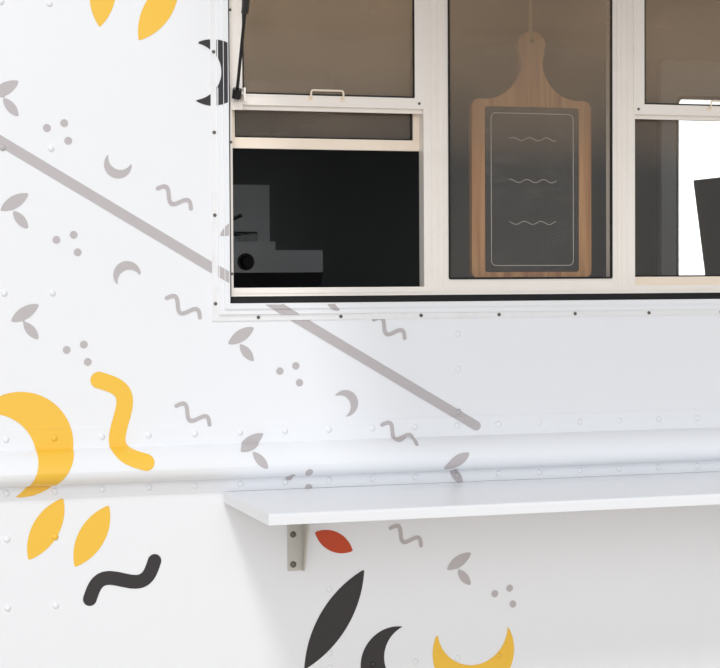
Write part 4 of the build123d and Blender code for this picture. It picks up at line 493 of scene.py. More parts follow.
BARE = Finish("bare_steel_plate", srgb(198, 195, 188), 0.4, metallic=0.35, mottle=0.12,
              grain=(240.0, 240.0, 5.0), grain_depth=0.3, bump=0.15, scuff=0.35,
              scuff_color=srgb(222, 220, 214), scuff_scale=60.0)
ZINC = Finish("zinc_fastener", srgb(196, 194, 188), 0.34, metallic=0.85, mottle=0.15, skin=0.2)
CHROME = Finish("bright_trim", srgb(220, 222, 226), 0.12, metallic=1.0, mottle=0.02, skin=0.01)
IRON = Finish("cast_iron_grate", srgb(40, 39, 38), 0.7, metallic=0.4, skin=0.8, bump=0.4)
FLAP = Finish("trim_rubber", srgb(30, 30, 31), 0.66, dust=0.2, skin=0.4, bump=0.2)
PLATE = Finish("blank_plate", srgb(226, 227, 226), 0.3, coat=0.3, skin=0.08)
CHALK = Finish("chalk_line", srgb(206, 202, 194), 0.95, mottle=0.3, skin=2.5, bump=0.5)
PIPING = Finish("seat_piping", srgb(70, 68, 68), 0.55, skin=0.4, bump=0.3)


@dataclass(frozen=True)
class WoodFinish(Surface):
    """Stained pine with its grain running up the board."""

    name: str = "stained_pine"
    light: Color = srgb(216, 164, 112)
    dark: Color = srgb(160, 106, 64)

    def shader(self, graph: Graph, groups: EffectGroups) -> Node:
        """Makes the wood, its rings and pores drawn out along the board.

        Args:
            graph: The material's graph.
            groups: The shared effects.

        Returns:
            The shader's node.
        """
        where = graph.place()
        rings = graph.noise(graph.scaled(where, (62.0, 62.0, 2.6)), 1.0, 5.0, Distortion=0.6)
        pores = graph.noise(graph.scaled(where, (420.0, 420.0, 12.0)), 1.0, 2.0)
        tone = graph.mix(graph.ramp(rings, 0.3, 0.7), self.light, self.dark)
        tone = graph.mix(graph.product(graph.ramp(pores, 0.55, 0.75), 0.5), tone, self.dark)
        return graph.add("ShaderNodeBsdfPrincipled", {
            "Base Color": tone, "Roughness": 0.55, "Normal": graph.bump(pores, 0.25, 0.001)})


@dataclass(frozen=True)
class ChalkFinish(Surface):
    """A blackboard face with wiped chalk on it."""

    name: str = "wiped_blackboard"
    slate: Color = srgb(30, 31, 34)
    chalk: Color = srgb(168, 166, 162)

    def shader(self, graph: Graph, groups: EffectGroups) -> Node:
        """Makes the board's face, clouded with slanting wipes.

        Args:
            graph: The material's graph.
            groups: The shared effects.

        Returns:
            The shader's node.
        """
        where = graph.place()
        turned = graph.add("ShaderNodeMapping", {"Vector": where, "Rotation": (0.0, 0.5, 0.0),
                                                 "Scale": (14.0, 14.0, 60.0)}).outputs[0]
        wipes, cloud = graph.noise(turned, 1.0, 6.0), graph.noise(where, 9.0, 3.0)
        dust = graph.product(graph.ramp(wipes, 0.4, 0.85), graph.ramp(cloud, 0.35, 0.75), 0.22)
        return graph.add("ShaderNodeBsdfPrincipled", {
            "Base Color": graph.mix(dust, self.slate, self.chalk), "Roughness": 0.75})


@dataclass(frozen=True)
class LampFinish(Surface):
    """Ribbed lamp lenses: clear in front, a red, an amber and a clear one behind, small markers on top."""

    name: str = "lamp_lenses"
    clear: Color = srgb(222, 226, 230)
    amber: Color = srgb(224, 120, 26)
    red: Color = srgb(172, 24, 26)
    marker_z: float = 2.6
    turn_z: Pair = (1.32, 1.44)

    def shader(self, graph: Graph, groups: EffectGroups) -> Node:
        """Makes the lenses, coloured by where they stand.

        Args:
            graph: The material's graph.
            groups: The shared effects.

        Returns:
            The shader's node.
        """
        where = graph.place()
        x, _, z = graph.axes(where)
        levels = (self.marker_z, *self.turn_z)
        marker, above, stop = [graph.math("GREATER_THAN", z, level) for level in levels]
        back = graph.mix(stop, graph.mix(above, self.clear, self.amber), self.red)
        front = graph.mix(marker, self.clear, self.amber)
        color = graph.mix(graph.math("LESS_THAN", x, 0.0), front, back)
        ribs = graph.add("ShaderNodeTexWave", {"Vector": where, "Scale": 26.0, "Distortion": 0.0},
                         bands_direction="Y").outputs["Fac"]
        cells = graph.add("ShaderNodeTexVoronoi", {"Vector": where, "Scale": 150.0}).outputs[0]
        return graph.add("ShaderNodeBsdfPrincipled", {
            "Base Color": color, "Roughness": 0.12, "Coat Weight": 0.7, "Coat Roughness": 0.05,
            "Normal": graph.bump(graph.math("ADD", ribs, cells), 0.5, 0.0015)})


@dataclass(frozen=True)
class TreadPlate(Surface):
    """Aluminium floor plate with its raised bars laid crosswise in turn."""

    name: str = "tread_plate"
    color: Color = srgb(158, 160, 163)
    scuff_color: Color = srgb(92, 88, 84)
    pitch: float = 0.03

    def shader(self, graph: Graph, groups: EffectGroups) -> Node:
        """Makes the plate from two brick patterns, each turned 45 degrees.

        Args:
            graph: The material's graph.
            groups: The shared effects.

        Returns:
            The shader's node.
        """
        where = graph.place()
        bars = []
        for turn in (0.785, -0.785):
            placed = graph.add("ShaderNodeMapping", {"Vector": where, "Rotation": (0.0, 0.0, turn)})
            bars.append(graph.add("ShaderNodeTexBrick", {
                "Vector": placed.outputs[0], "Scale": 1.0 / self.pitch, "Mortar Size": 0.2,
                "Brick Width": 1.6, "Row Height": 0.9}, offset=0.5).outputs["Fac"])
        raised = graph.math("SUBTRACT", 1.0, graph.product(*bars))
        scuffs = graph.effect(groups.wear, {"Color": self.color, "Scuff Color": self.scuff_color})
        return graph.add("ShaderNodeBsdfPrincipled", {
            "Base Color": scuffs.outputs["Color"], "Roughness": 0.42, "Metallic": 0.7,
            "Normal": graph.bump(raised, 0.5, 0.002)})


@dataclass(frozen=True)
class MirrorFinish(Surface):
    """Silvered mirror glass."""

    name: str = "mirror_glass"
    color: Color = srgb(214, 220, 224)

    def shader(self, graph: Graph, groups: EffectGroups) -> Node:
        """Makes the mirror, faintly smeared.

        Args:
            graph: The material's graph.
            groups: The shared effects.

        Returns:
            The shader's node.
        """
        smear = graph.noise(graph.place(), 7.0, 4.0)
        rough = graph.product(graph.ramp(smear, 0.4, 0.9), 0.08)
        return graph.add("ShaderNodeBsdfPrincipled", {
            "Base Color": self.color, "Roughness": rough, "Metallic": 1.0})


class Palette:
    """Builds each finish once and hands out its material."""

    def __init__(self) -> None:
        """Builds the shared effects."""
        self.groups = EffectGroups()
        self.made: dict[str, Material] = {}

    def get(self, finish: Surface) -> Material:
        """Returns a finish's material, building it the first time.

        Args:
            finish: The finish.

        Returns:
            The material.
        """
        if finish.name not in self.made:
            material = bpy.data.materials.new(finish.name)
            material.use_nodes = True
            material.node_tree.nodes.clear()
            graph = Graph(material.node_tree)
            shader = finish.shader(graph, self.groups)
            graph.add("ShaderNodeOutputMaterial", {0: shader.outputs[0]})
            self.made[finish.name] = material
        return self.made[finish.name]


def loose(name: str, bm: BMesh) -> Object:
    """Turns a bmesh into an object that isn't in the scene yet.

    Args:
        name: The object's name.
        bm: Its mesh, used up here.

    Returns:
        The object.
    """
    mesh = bpy.data.meshes.new(name)
    bm.normal_update()
    bm.to_mesh(mesh)
    bm.free()
    return bpy.data.objects.new(name, mesh)


def show(thing: Object) -> Object:
    """Puts an object into the scene and hands it back."""
    bpy.context.scene.collection.objects.link(thing)
    return thing


def baked(thing: Object) -> bpy.types.Mesh:
    """The plain mesh that an object's modifiers make of it."""
    state = bpy.context.evaluated_depsgraph_get()
    return bpy.data.meshes.new_from_object(thing.evaluated_get(state), depsgraph=state)


def mesh_piece(name: str, bm: BMesh, material: Material, body: str, smooth: float) -> Object:
    """Turns a bmesh into a finished piece that rides on a body.

    Args:
        name: The piece's name.
        bm: Its mesh, in the truck's frame.
        material: Its finish.
        body: The body that carries it.
        smooth: The angle in degrees up to which edges are shaded smooth.

    Returns:
        The piece.
    """
    piece = show(loose(name, bm))
    mesh = piece.data
    mesh.materials.append(material)
    shade_smooth(mesh, smooth)
    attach(piece, body)
    LOG.info("%s: %d faces", name, len(mesh.polygons))
    return piece


def all_smooth(mesh: bpy.types.Mesh) -> None:
    """Shades every face of a mesh smooth."""
    mesh.polygons.foreach_set("use_smooth", [True] * len(mesh.polygons))


def shade_smooth(mesh: bpy.types.Mesh, angle: float) -> None:
    """Shades a mesh smooth, apart from edges sharper than the angle.

    Args:
        mesh: The mesh.
        angle: The sharpest smooth edge, in degrees.
    """
    all_smooth(mesh)
    bm = bmesh.new()
    bm.from_mesh(mesh)
    limit = math.radians(angle)
    for edge in bm.edges:
        edge.smooth = len(edge.link_faces) == 2 and edge.calc_face_angle(0.0) < limit
    bm.to_mesh(mesh)
    bm.free()


def add_box(bm: BMesh, low: Sequence[float], high: Sequence[float], bevel: float = 0.0) -> None:
    """Adds a box to a bmesh.

    Args:
        bm: The mesh to add to.
        low: Its lowest corner.
        high: Its highest corner.
        bevel: The size of its rounded edges.
    """
    made = bmesh.ops.create_cube(bm, size=1.0)
    size = Vector(high) - Vector(low)
    centre = (Vector(high) + Vector(low)) / 2
    for v in made["verts"]:
        v.co = Vector((v.co.x * size.x, v.co.y * size.y, v.co.z * size.z)) + centre
    if bevel:
        edges = list({e for v in made["verts"] for e in v.link_edges})
        bmesh.ops.bevel(bm, geom=edges, offset=bevel, segments=2, affect="EDGES", profile=0.5)


def on_circle(count: int, radius: float) -> Outline:
    """Places spread evenly on a circle about 0, 0."""
    turns = [2 * math.pi * n / count for n in range(count)]
    return [(radius * math.cos(turn), radius * math.sin(turn)) for turn in turns]


def add_lathe(bm: BMesh, profile: Sequence[Pair], place: Matrix, steps: int) -> None:
    """Adds a turned form, its profile given as (radius, height) from the axis round to the axis.

    Args:
        bm: The mesh to add to.
        profile: The outline, anticlockwise seen with the radius to the right, for outward faces.
        place: Where it goes; its own axis is Z.
        steps: Facets round the axis.
    """
    rings: list[list[Corner]] = []
    for radius, height in profile:
        if radius < 1e-7:
            rings.append([bm.verts.new(place @ Vector((0, 0, height)))])
            continue
        rings.append([bm.verts.new(place @ Vector((x, y, height))) for x, y in on_circle(steps, radius)])
    for low, high in zip(rings, rings[1:]):
        for n in range(steps):
            a, b = low[n % len(low)], low[(n + 1) % len(low)]
            c, d = high[(n + 1) % len(high)], high[n % len(high)]
            corners = [v for i, v in enumerate((a, b, c, d)) if v not in (a, b, c, d)[:i]]
            if len(corners) > 2:
                bm.faces.new(corners)


def facing(origin: Point, outward: Point) -> Matrix:
    """A place whose Z axis points outward."""
    return Matrix.Translation(origin) @ Vector(outward).to_track_quat("Z", "Y").to_matrix().to_4x4()


def as_placed(place: Matrix, half_w: float, half_h: float) -> Pair:
    """A pane's half width and height, in the order of the axes of its place."""
    across = place.to_3x3() @ Vector((1, 0, 0))
    return (half_w, half_h) if abs(across.y) > 0.5 else (half_h, half_w)


def rounded(half_w: float, half_h: float, radius: float, steps: int = 5) -> Outline:
    """A rectangle with round corners, anticlockwise about 0, 0.

    Args:
        half_w: Half its width.
        half_h: Half its height.
        radius: The corners' radius.
        steps: Runs in each corner.

    Returns:
        Its points.
    """
    points = []
    for n, (sx, sy) in enumerate(((1, 1), (-1, 1), (-1, -1), (1, -1))):
        for k in range(steps + 1):
            turn = (n + k / steps) * math.pi / 2
            points.append((sx * (half_w - radius) + radius * math.cos(turn),
                           sy * (half_h - radius) + radius * math.sin(turn)))
    return points


def join_rings(bm: BMesh, rings: Sequence[list[Corner]], closed: bool) -> None:
    """Joins rings with equally many points into a skin.

    Args:
        bm: The mesh that holds them.
        rings: The rings in order.
        closed: True to join the last to the first; otherwise both ends are capped.
    """
    count = len(rings[0])
    pairs = list(zip(rings, rings[1:])) + ([(rings[-1], rings[0])] if closed else [])
    for low, high in pairs:
        for n in range(count):
            m = (n + 1) % count
            bm.faces.new((low[n], low[m], high[m], high[n]))
    if not closed:
        bm.faces.new(rings[0][::-1])
        bm.faces.new(rings[-1])


def add_loops(bm: BMesh, place: Matrix, loops: Sequence[tuple[Outline, float]],
              closed: bool = False) -> None:
    """Joins outlines with equally many points into a skin, each at its own height.

    Args:
        bm: The mesh to add to.
        place: Where it goes; the outlines lie across its Z axis.
        loops: Each outline and its height, in order from the outside low edge up and over.
        closed: True to join the last to the first, as a ring; otherwise both ends are capped.
    """
    rings = [[bm.verts.new(place @ Vector((x, y, height))) for x, y in points] for points, height in loops]
    join_rings(bm, rings, closed)


def add_slab(bm: BMesh, place: Matrix, size: Point, radius: float, chamfer: float = 0.001) -> None:
    """Adds a flat plate with round corners and a chamfered upper edge, standing on its place.

    Args:
        bm: The mesh to add to.
        place: The middle of its underside, with Z as its outward direction.
        size: Half its width, half its height, and its thickness.
        radius: The corners' radius.
        chamfer: The upper edge's chamfer.
    """
    half_w, half_h, thick = size
    wide = rounded(half_w, half_h, radius)
    small = rounded(half_w - chamfer, half_h - chamfer, max(radius - chamfer, radius * 0.5))
    add_loops(bm, place, ((wide, 0.0), (wide, thick - chamfer), (small, thick)))


def add_rim(bm: BMesh, place: Matrix, half: Pair, widths: Pair, heights: Pair, radius: float) -> None:
    """Adds a round-cornered rim of rubber or metal about an opening.

    Args:
        bm: The mesh to add to.
        place: The opening's centre, with Z as its outward direction.
        half: Half the opening's width and height.
        widths: How far the rim laps inside and outside the opening's edge.
        heights: Its lowest and highest place along Z.
        radius: The opening's corner radius.
    """
    inside, outside = widths
    low, high = heights
    crown = min((high - low) * 0.3, (inside + outside) * 0.25)

    def loop(grow: float) -> Outline:
        """The opening's outline, grown by some amount."""
        return rounded(half[0] + grow, half[1] + grow, max(radius + grow, 0.001))

    section = ((outside, low), (outside, high - crown), (outside - crown, high),
               (-inside + crown, high), (-inside, high - crown), (-inside, low))
    add_loops(bm, place, [(loop(grow), height) for grow, height in section], True)


def add_tube(bm: BMesh, points: Sequence[Point], radius: float, steps: int = 8,
             closed: bool = False) -> None:
    """Adds a round bar along some points.

    Args:
        bm: The mesh to add to.
        points: The bar's centre line.
        radius: Its radius.
        steps: Facets round it.
        closed: True where the end meets the start.
    """
    path = [Vector(p) for p in points]
    count = len(path)
    rings: list[list[Corner]] = []
    side: Vector | None = None
    for n, spot in enumerate(path):
        before = path[n - 1] if closed or n else spot
        after = path[(n + 1) % count] if closed or n < count - 1 else spot
        way = (after - before).normalized()
        side = way.orthogonal() if side is None else side - way * side.dot(way)
        side.normalize()
        over = way.cross(side)
        rings.append([bm.verts.new(spot + radius * (math.cos(t) * side + math.sin(t) * over))
                      for t in (2 * math.pi * k / steps for k in range(steps))])
    join_rings(bm, rings, closed)


def bend(points: Sequence[Point], radius: float, steps: int = 4) -> list[Point]:
    """Rounds the corners of a bent bar's centre line.

    Args:
        points: The bar's corners, with its two ends.
        radius: How far from each corner the bend starts.
        steps: Runs in each bend.

    Returns:
        The centre line's points.
    """
    path = [Vector(points[0])]
    for before, corner, after in zip(points, points[1:], points[2:]):
        here = Vector(corner)
        start = here + (Vector(before) - here).normalized() * radius
        end = here + (Vector(after) - here).normalized() * radius
        for k in range(steps + 1):
            t = k / steps
            path.append(start * (1 - t) ** 2 + here * 2 * t * (1 - t) + end * t ** 2)
    path.append(Vector(points[-1]))
    return [tuple(p) for p in path]


def solid_boxes(node: Object) -> list[tuple[Vector, Vector]]:
    """Finds the box of each separate solid in a CAD node.

    Args:
        node: The node.

    Returns:
        Each solid's lowest and highest corner.
    """
    bm = bmesh.new()
    bm.from_mesh(node.data)
    bmesh.ops.remove_doubles(bm, verts=bm.verts, dist=1e-6)
    seen: set[Corner] = set()
    boxes = []
    for first in bm.verts:
        if first in seen:
            continue
        seen.add(first)
        waiting, low, high = [first], first.co.copy(), first.co.copy()
        while waiting:
            here = waiting.pop()
            for i in range(3):
                low[i], high[i] = min(low[i], here.co[i]), max(high[i], here.co[i])
            for edge in here.link_edges:
                other = edge.other_vert(here)
                if other not in seen:
                    seen.add(other)
                    waiting.append(other)
        boxes.append((low, high))
    bm.free()
    return boxes


@dataclass(frozen=True)
class Datum:
    """The lines that places are measured from, read off the frame."""

    wall_y: float
    column_x: float
    half_width: float = 1.18

    @property
    def centre_y(self) -> float:
        """The truck's middle line."""
        return self.wall_y + self.half_width

    def side_y(self, side: int, reach: float) -> float:
        """The Y of a place reach out from the middle line, on the street side (1) or serving side (-1)."""
        return self.centre_y + side * reach


@dataclass(frozen=True)
class Lamp:
    """One soft lamp, as wide as a stretch of sky."""

    name: str
    strength: float
    angle: float
    aim: Point


@dataclass
class Studio:
    """The camera of the photograph, the pale floor and the soft lamps."""

    wall_y: float
    column_x: float
    lens: float = 90.0
    eye: Point = (-0.4103, 3.852, 1.6445)
    right: Point = (0.95494, -0.29675, -0.00549)
    forward: Point = (0.29646, 0.95458, -0.02987)
    sky_strength: float = 0.5
    lamps: tuple[Lamp, ...] = (Lamp("key_lamp", 0.95, 10.0, (0.25, 0.64, -0.72)),
                               Lamp("front_lamp", 1.0, 40.0, (0.22, 0.95, -0.22)),
                               Lamp("street_lamp", 0.85, 40.0, (-0.3, -0.9, -0.3)))
    backdrop: Color = (0.74, 0.765, 0.80)
    sky: Color = (0.95, 0.975, 1.0)
    floor_half: float = 60.0
    floor_color: Color = (0.77, 0.69, 0.6)
    floor_roughness: float = 0.7
    floor_fade: Pair = (7.0, 20.0)

    def build(self) -> None:
        """Makes the camera, the lamps, the world and the floor."""
        self._camera()
        self._lamps()
        self._world()
        self._floor()

    def _camera(self) -> None:
        """Makes the camera at the photograph's place."""
        data = bpy.data.cameras.new("photo_camera")
        data.lens = self.lens
        data.sensor_width = 36.0
        data.sensor_fit = "HORIZONTAL"
        data.clip_start = 0.1
        data.clip_end = 200.0
        camera = bpy.data.objects.new("photo_camera", data)
        forward = Vector(self.forward).normalized()
        right = Vector(self.right)
        right = (right - forward * right.dot(forward)).normalized()
        up = right.cross(forward)
        turn = Matrix((right, up, -forward)).transposed().to_4x4()
        place = (self.column_x + self.eye[0], self.wall_y - self.eye[1], self.eye[2])
        camera.matrix_world = Matrix.Translation(place) @ turn
        bpy.context.scene.camera = show(camera)

    def _lamps(self) -> None:
        """Makes the soft lamps: one high, one low in front of the serving side, one on the street side."""
        for lamp in self.lamps:
            data = bpy.data.lights.new(lamp.name, "SUN")
            data.energy = lamp.strength
            data.angle = math.radians(lamp.angle)
            light = show(bpy.data.objects.new(lamp.name, data))
            light.rotation_mode = "QUATERNION"
            light.rotation_quaternion = Vector(lamp.aim).to_track_quat("-Z", "Y")
            light.location = (0, 0, 8)

    def _world(self) -> None:
        """Makes a pale even sky that the camera sees as a pale backdrop."""
        world = bpy.data.worlds.new("studio")
        bpy.context.scene.world = world
        world.use_nodes = True
        world.node_tree.nodes.clear()
        graph = Graph(world.node_tree)
        path = graph.add("ShaderNodeLightPath")
        seen = graph.math("MAXIMUM", path.outputs["Is Camera Ray"], path.outputs["Is Transmission Ray"])
        light = graph.add("ShaderNodeBackground", {"Color": self.sky, "Strength": self.sky_strength})
        pale = graph.add("ShaderNodeBackground", {"Color": self.backdrop, "Strength": 1.0})
        graph.add("ShaderNodeOutputWorld", {0: graph.blend(seen, light, pale).outputs[0]})

    def _floor(self) -> None:
        """Makes the pale floor, which fades into the backdrop far off."""
        bm = bmesh.new()
        bmesh.ops.create_grid(bm, x_segments=1, y_segments=1, size=self.floor_half)
        floor = show(loose("floor", bm))
        material = bpy.data.materials.new("pale_floor")
        material.use_nodes = True
        material.node_tree.nodes.clear()
        graph = Graph(material.node_tree)
        ground = graph.add("ShaderNodeBsdfPrincipled", {
            "Base Color": self.floor_color, "Roughness": self.floor_roughness})
        far = graph.add("ShaderNodeVectorMath", {0: graph.place()}, operation="LENGTH").outputs["Value"]
        glow = graph.add("ShaderNodeEmission", {"Color": self.backdrop, "Strength": 1.0})
        whole = graph.blend(graph.ramp(far, *self.floor_fade), ground, glow)
        graph.add("ShaderNodeOutputMaterial", {0: whole.outputs[0]})
        floor.data.materials.append(material)


class Skin:
    """Finds the outermost surface of some CAD nodes, so that thin things can lie on it."""

    OUTSIDE = 4.0
    MIDDLE_Y = 0.38
    REACH = 8.0

    def __init__(self, nodes: dict[str, Object], names: Iterable[str]) -> None:
        """Gathers the nodes' triangles.

        Args:
            nodes: The frame's nodes by name.
            names: The nodes whose surface counts.
        """
        points: list[Vector] = []
        faces: list[tuple[int, ...]] = []
        for name in names:
            mesh = nodes[name].data
            base = len(points)
            points += [v.co.copy() for v in mesh.vertices]
            faces += [tuple(base + i for i in p.vertices) for p in mesh.polygons]
        self.tree = BVHTree.FromPolygons(points, faces)

    def hit(self, x: float, z: float, side: float) -> float | None:
        """Finds the surface's Y on one side, or None where there is none near the wall."""
        start = Vector((x, side * self.OUTSIDE + self.MIDDLE_Y, z))
        spot = self.tree.ray_cast(start, Vector((0, -side, 0)), self.REACH)[0]
        return None if spot is None else spot.y

    def cast(self, start: Point, way: Point) -> tuple[Vector, Vector] | None:
        """Finds where a line meets the surface.

        Args:
            start: Where the line starts.
            way: Its direction.

        Returns:
            The place and the surface's outward direction there, or None where the line misses.
        """
        spot, normal, _, _ = self.tree.ray_cast(Vector(start), Vector(way), self.REACH)
        if spot is None:
            return None
        return spot, (normal if normal.dot(Vector(way)) < 0 else -normal)


@dataclass(frozen=True)
class Stroke:
    """A round-ended stroke of vinyl along straight runs, in metres from the first rivet column."""

    points: tuple[Pair, ...]
    width: float


@dataclass(frozen=True)
class Dot:
    """A round dot."""

    centre: Pair
    radius: float


@dataclass(frozen=True)
class Leaf:
    """A pointed leaf, the space shared by two equal circles."""

    centre: Pair
    length: float
    width: float
    turn: float


@dataclass(frozen=True)
class Crescent:
    """A disc with a slightly smaller disc cut out of one side."""

    centre: Pair
    radius: float
    turn: float
    thickness: float = 0.5


Shape = Stroke | Dot | Leaf | Crescent
WAVE_STEPS = 36
FAR = 9.0


def wave(start: Pair, length: float, height: float, turn: float,
         width: float, humps: float = 1.5) -> Stroke:
    """A wavy stroke.

    Args:
        start: Its middle.
        length: Its length.
        height: How far it swings to each side.
        turn: Its direction, in degrees.
        width: The stroke's width.
        humps: How many waves it holds.

    Returns:
        The stroke.
    """
    c, s = math.cos(math.radians(turn)), math.sin(math.radians(turn))
    points = []
    for k in range(WAVE_STEPS + 1):
        u = (k / WAVE_STEPS - 0.5) * length
        v = height * math.sin(2 * math.pi * humps * k / WAVE_STEPS)
        points.append((start[0] + u * c - v * s, start[1] + u * s + v * c))
    return Stroke(tuple(points), width)


@dataclass
class Graphics:
    """The cut vinyl on both sides of the truck, laid on the metal."""

    skin: Skin
    column_x: float
    wall_y: dict[int, float]
    palette: Palette
    cell: float = 0.004
    lift: float = 0.0008
    slope: float = -0.592
    belt_edges: tuple[float, ...] = (1.183, 1.214, 1.288, 1.332)
    lead: Pair = (0.0, 1.939)
    clearance: float = 0.004
    bite: float = 0.86
    low: Pair = (-1.6, 0.55)
    high: Pair = (2.6, 2.7)

    @cached_property
    def motifs(self) -> dict[Layer, list[Shape]]:
        """Lays out the motifs of one side.

        Returns:
            The shapes of each colour.
        """
        slant = math.degrees(math.atan(self.slope))
        cosine = math.cos(math.radians(slant))
        sine = math.sin(math.radians(slant))

        def along(u: float, v: float) -> Pair:
            """A point u along and v above the long grey stripe."""
            return (self.lead[0] + u * cosine - v * sine, self.lead[1] + u * sine + v * cosine)

        grey: list[Shape] = [Stroke((along(-1.2, 0), along(1.235, 0)), 0.022)]
        rows = ((-0.62, 12, 0.087), (-0.2, 11, -0.108), (0.22, 10, -0.3))
        for row, (first, count, lift) in enumerate(rows):
            for n in range(count):
                u = first + n * 0.142
                spot = along(u, lift)
                kind = (n * 3 + row * 2) % 4
                if kind == 0:
                    grey += [Leaf(along(u, lift + 0.012), 0.07, 0.026, slant + 62),
                             Leaf(along(u + 0.03, lift - 0.014), 0.05, 0.02, slant - 20)]
                elif kind == 1:
                    grey.append(wave(spot, 0.085, 0.013, slant, 0.009))
                elif kind == 2:
                    grey.append(Crescent(spot, 0.03, slant + 40 + 70 * n))
                else:
                    grey += [Dot(along(u + dx, lift + dv), 0.0085)
                             for dx, dv in ((-0.026, -0.012), (0.0, 0.016), (0.026, -0.012))]
        yellow: list[Shape] = [
            Leaf((0.215, 2.262), 0.15, 0.056, 84), Leaf((0.335, 2.232), 0.165, 0.06, 58),
            Crescent((0.03, 1.3), 0.112, 205, 0.62), Leaf((0.082, 1.118), 0.15, 0.058, 60),
            Leaf((0.18, 1.098), 0.15, 0.058, 60), wave((0.245, 1.345), 0.2, 0.032, -62, 0.036, 1.0),
            Crescent((1.055, 0.79), 0.1, 92, 0.55)]
        charcoal: list[Shape] = [
            Crescent((0.452, 2.098), 0.072, 178, 0.6), wave((0.245, 1.0), 0.16, 0.024, 28, 0.03, 1.0),
            Leaf((0.722, 0.885), 0.26, 0.07, 57), Crescent((0.868, 0.775), 0.085, 20, 0.55)]
        orange: list[Shape] = [Leaf((0.722, 1.06), 0.1, 0.044, -28), Dot((0.665, 1.125), 0.014)]
        others = yellow + charcoal + orange
        kept = grey[:1]
        for shape in grey[1:]:
            x0, x1, z0, z1 = self.reach(shape)
            xs, zs = np.meshgrid(np.linspace(x0, x1, 7), np.linspace(z0, z1, 7))
            if min(self.distance(other, xs, zs).min() for other in others) > self.clearance:
                kept.append(shape)
        return {Layer.GREY: kept, Layer.YELLOW: yellow, Layer.CHARCOAL: charcoal, Layer.ORANGE: orange}

    def distance(self, shape: Shape, xs: np.ndarray, zs: np.ndarray) -> np.ndarray:
        """Measures how far grid points are outside a shape.

        Args:
            shape: The shape.
            xs: The grid's X values.
            zs: The grid's Z values.

        Returns:
            The distances, negative inside.
        """
        if isinstance(shape, Dot):
            return np.hypot(xs - shape.centre[0], zs - shape.centre[1]) - shape.radius
        if isinstance(shape, Stroke):
            best = np.full(xs.shape, FAR)
            for (ax, az), (bx, bz) in zip(shape.points, shape.points[1:]):
                dx, dz = bx - ax, bz - az
                t = np.clip(((xs - ax) * dx + (zs - az) * dz) / (dx * dx + dz * dz), 0, 1)
                best = np.minimum(best, np.hypot(xs - ax - t * dx, zs - az - t * dz))
            return best - shape.width / 2
        c, s = math.cos(math.radians(shape.turn)), math.sin(math.radians(shape.turn))
        u = (xs - shape.centre[0]) * c + (zs - shape.centre[1]) * s
        v = -(xs - shape.centre[0]) * s + (zs - shape.centre[1]) * c
        if isinstance(shape, Leaf):
            half, rise = shape.length / 2, shape.width / 2
            radius = (half * half + rise * rise) / (2 * rise)
            low = np.hypot(u, v + radius - rise) - radius
            high = np.hypot(u, v - radius + rise) - radius
            return np.maximum(low, high)
        bite = shape.radius * self.bite
        return np.maximum(np.hypot(u, v) - shape.radius,
                          bite - np.hypot(u - shape.radius * shape.thickness, v))

    def reach(self, shape: Shape) -> tuple[float, float, float, float]:
        """The box that a shape lies in, as its X range and its Z range."""
        if isinstance(shape, Stroke):
            across, up = zip(*shape.points)
            size = shape.width
        else:
            across, up = [[place] for place in shape.centre]
            size = (shape.length if isinstance(shape, Leaf) else shape.radius) + 2 * self.cell
        return (min(across) - size, max(across) + size, min(up) - size, max(up) + size)

    def cut(self, shapes: list[Shape], side: int) -> BMesh:
        """Cuts a colour's shapes out of a fine grid and lays them on the truck's skin.

        Args:
            shapes: The colour's shapes.
            side: -1 for the serving side, 1 for the street side.

        Returns:
            The vinyl's mesh.
        """
        low, high = self.low, self.high
        gx = np.arange(low[0], high[0], self.cell)
        roll = self.belt_edges[1] - 0.004, self.belt_edges[2] + 0.004
        rows = np.concatenate([np.arange(low[1], roll[0], self.cell), np.arange(*roll, self.cell / 2),
                               np.arange(roll[1], high[1], self.cell)])
        edges = np.array([z + d for z in self.belt_edges for d in (-0.0004, 0.0004)])
        rows = rows[np.abs(rows[:, None] - edges[None, :]).min(axis=1) > self.cell * 0.15]
        gz = np.sort(np.concatenate([rows, edges]))
        values = np.full((len(gx), len(gz)), FAR)
        for shape in shapes:
            box = self.reach(shape)
            i0, i1 = np.searchsorted(gx, box[0]), np.searchsorted(gx, box[1])
            j0, j1 = np.searchsorted(gz, box[2]), np.searchsorted(gz, box[3])
            if i1 <= i0 or j1 <= j0:
                continue
            xs, zs = np.meshgrid(gx[i0:i1], gz[j0:j1], indexing="ij")
            part = values[i0:i1, j0:j1]
            np.minimum(part, self.distance(shape, xs, zs), out=part)
        return self._contour(values, gx, gz, side)

    def _contour(self, values: np.ndarray, gx: np.ndarray, gz: np.ndarray, side: int) -> BMesh:
        """Makes faces wherever the values are negative, with smooth borders.

        Args:
            values: The distances on the grid.
            gx: The grid's X values.
            gz: The grid's Z values.
            side: -1 for the serving side, 1 for the street side.

        Returns:
            The mesh, laid on the skin.
        """
        bm = bmesh.new()
        made: dict[tuple, Corner | None] = {}

        def vertex(key: tuple, x: float, z: float) -> Corner | None:
            """The vertex for a grid point or border point, or None off the metal."""
            if key not in made:
                wx = self.column_x + x
                y = self.skin.hit(wx, z, side)
                off = y is None or (y - self.wall_y[side]) * side < -0.002
                made[key] = None if off else bm.verts.new((wx, y + side * self.lift, z))
            return made[key]

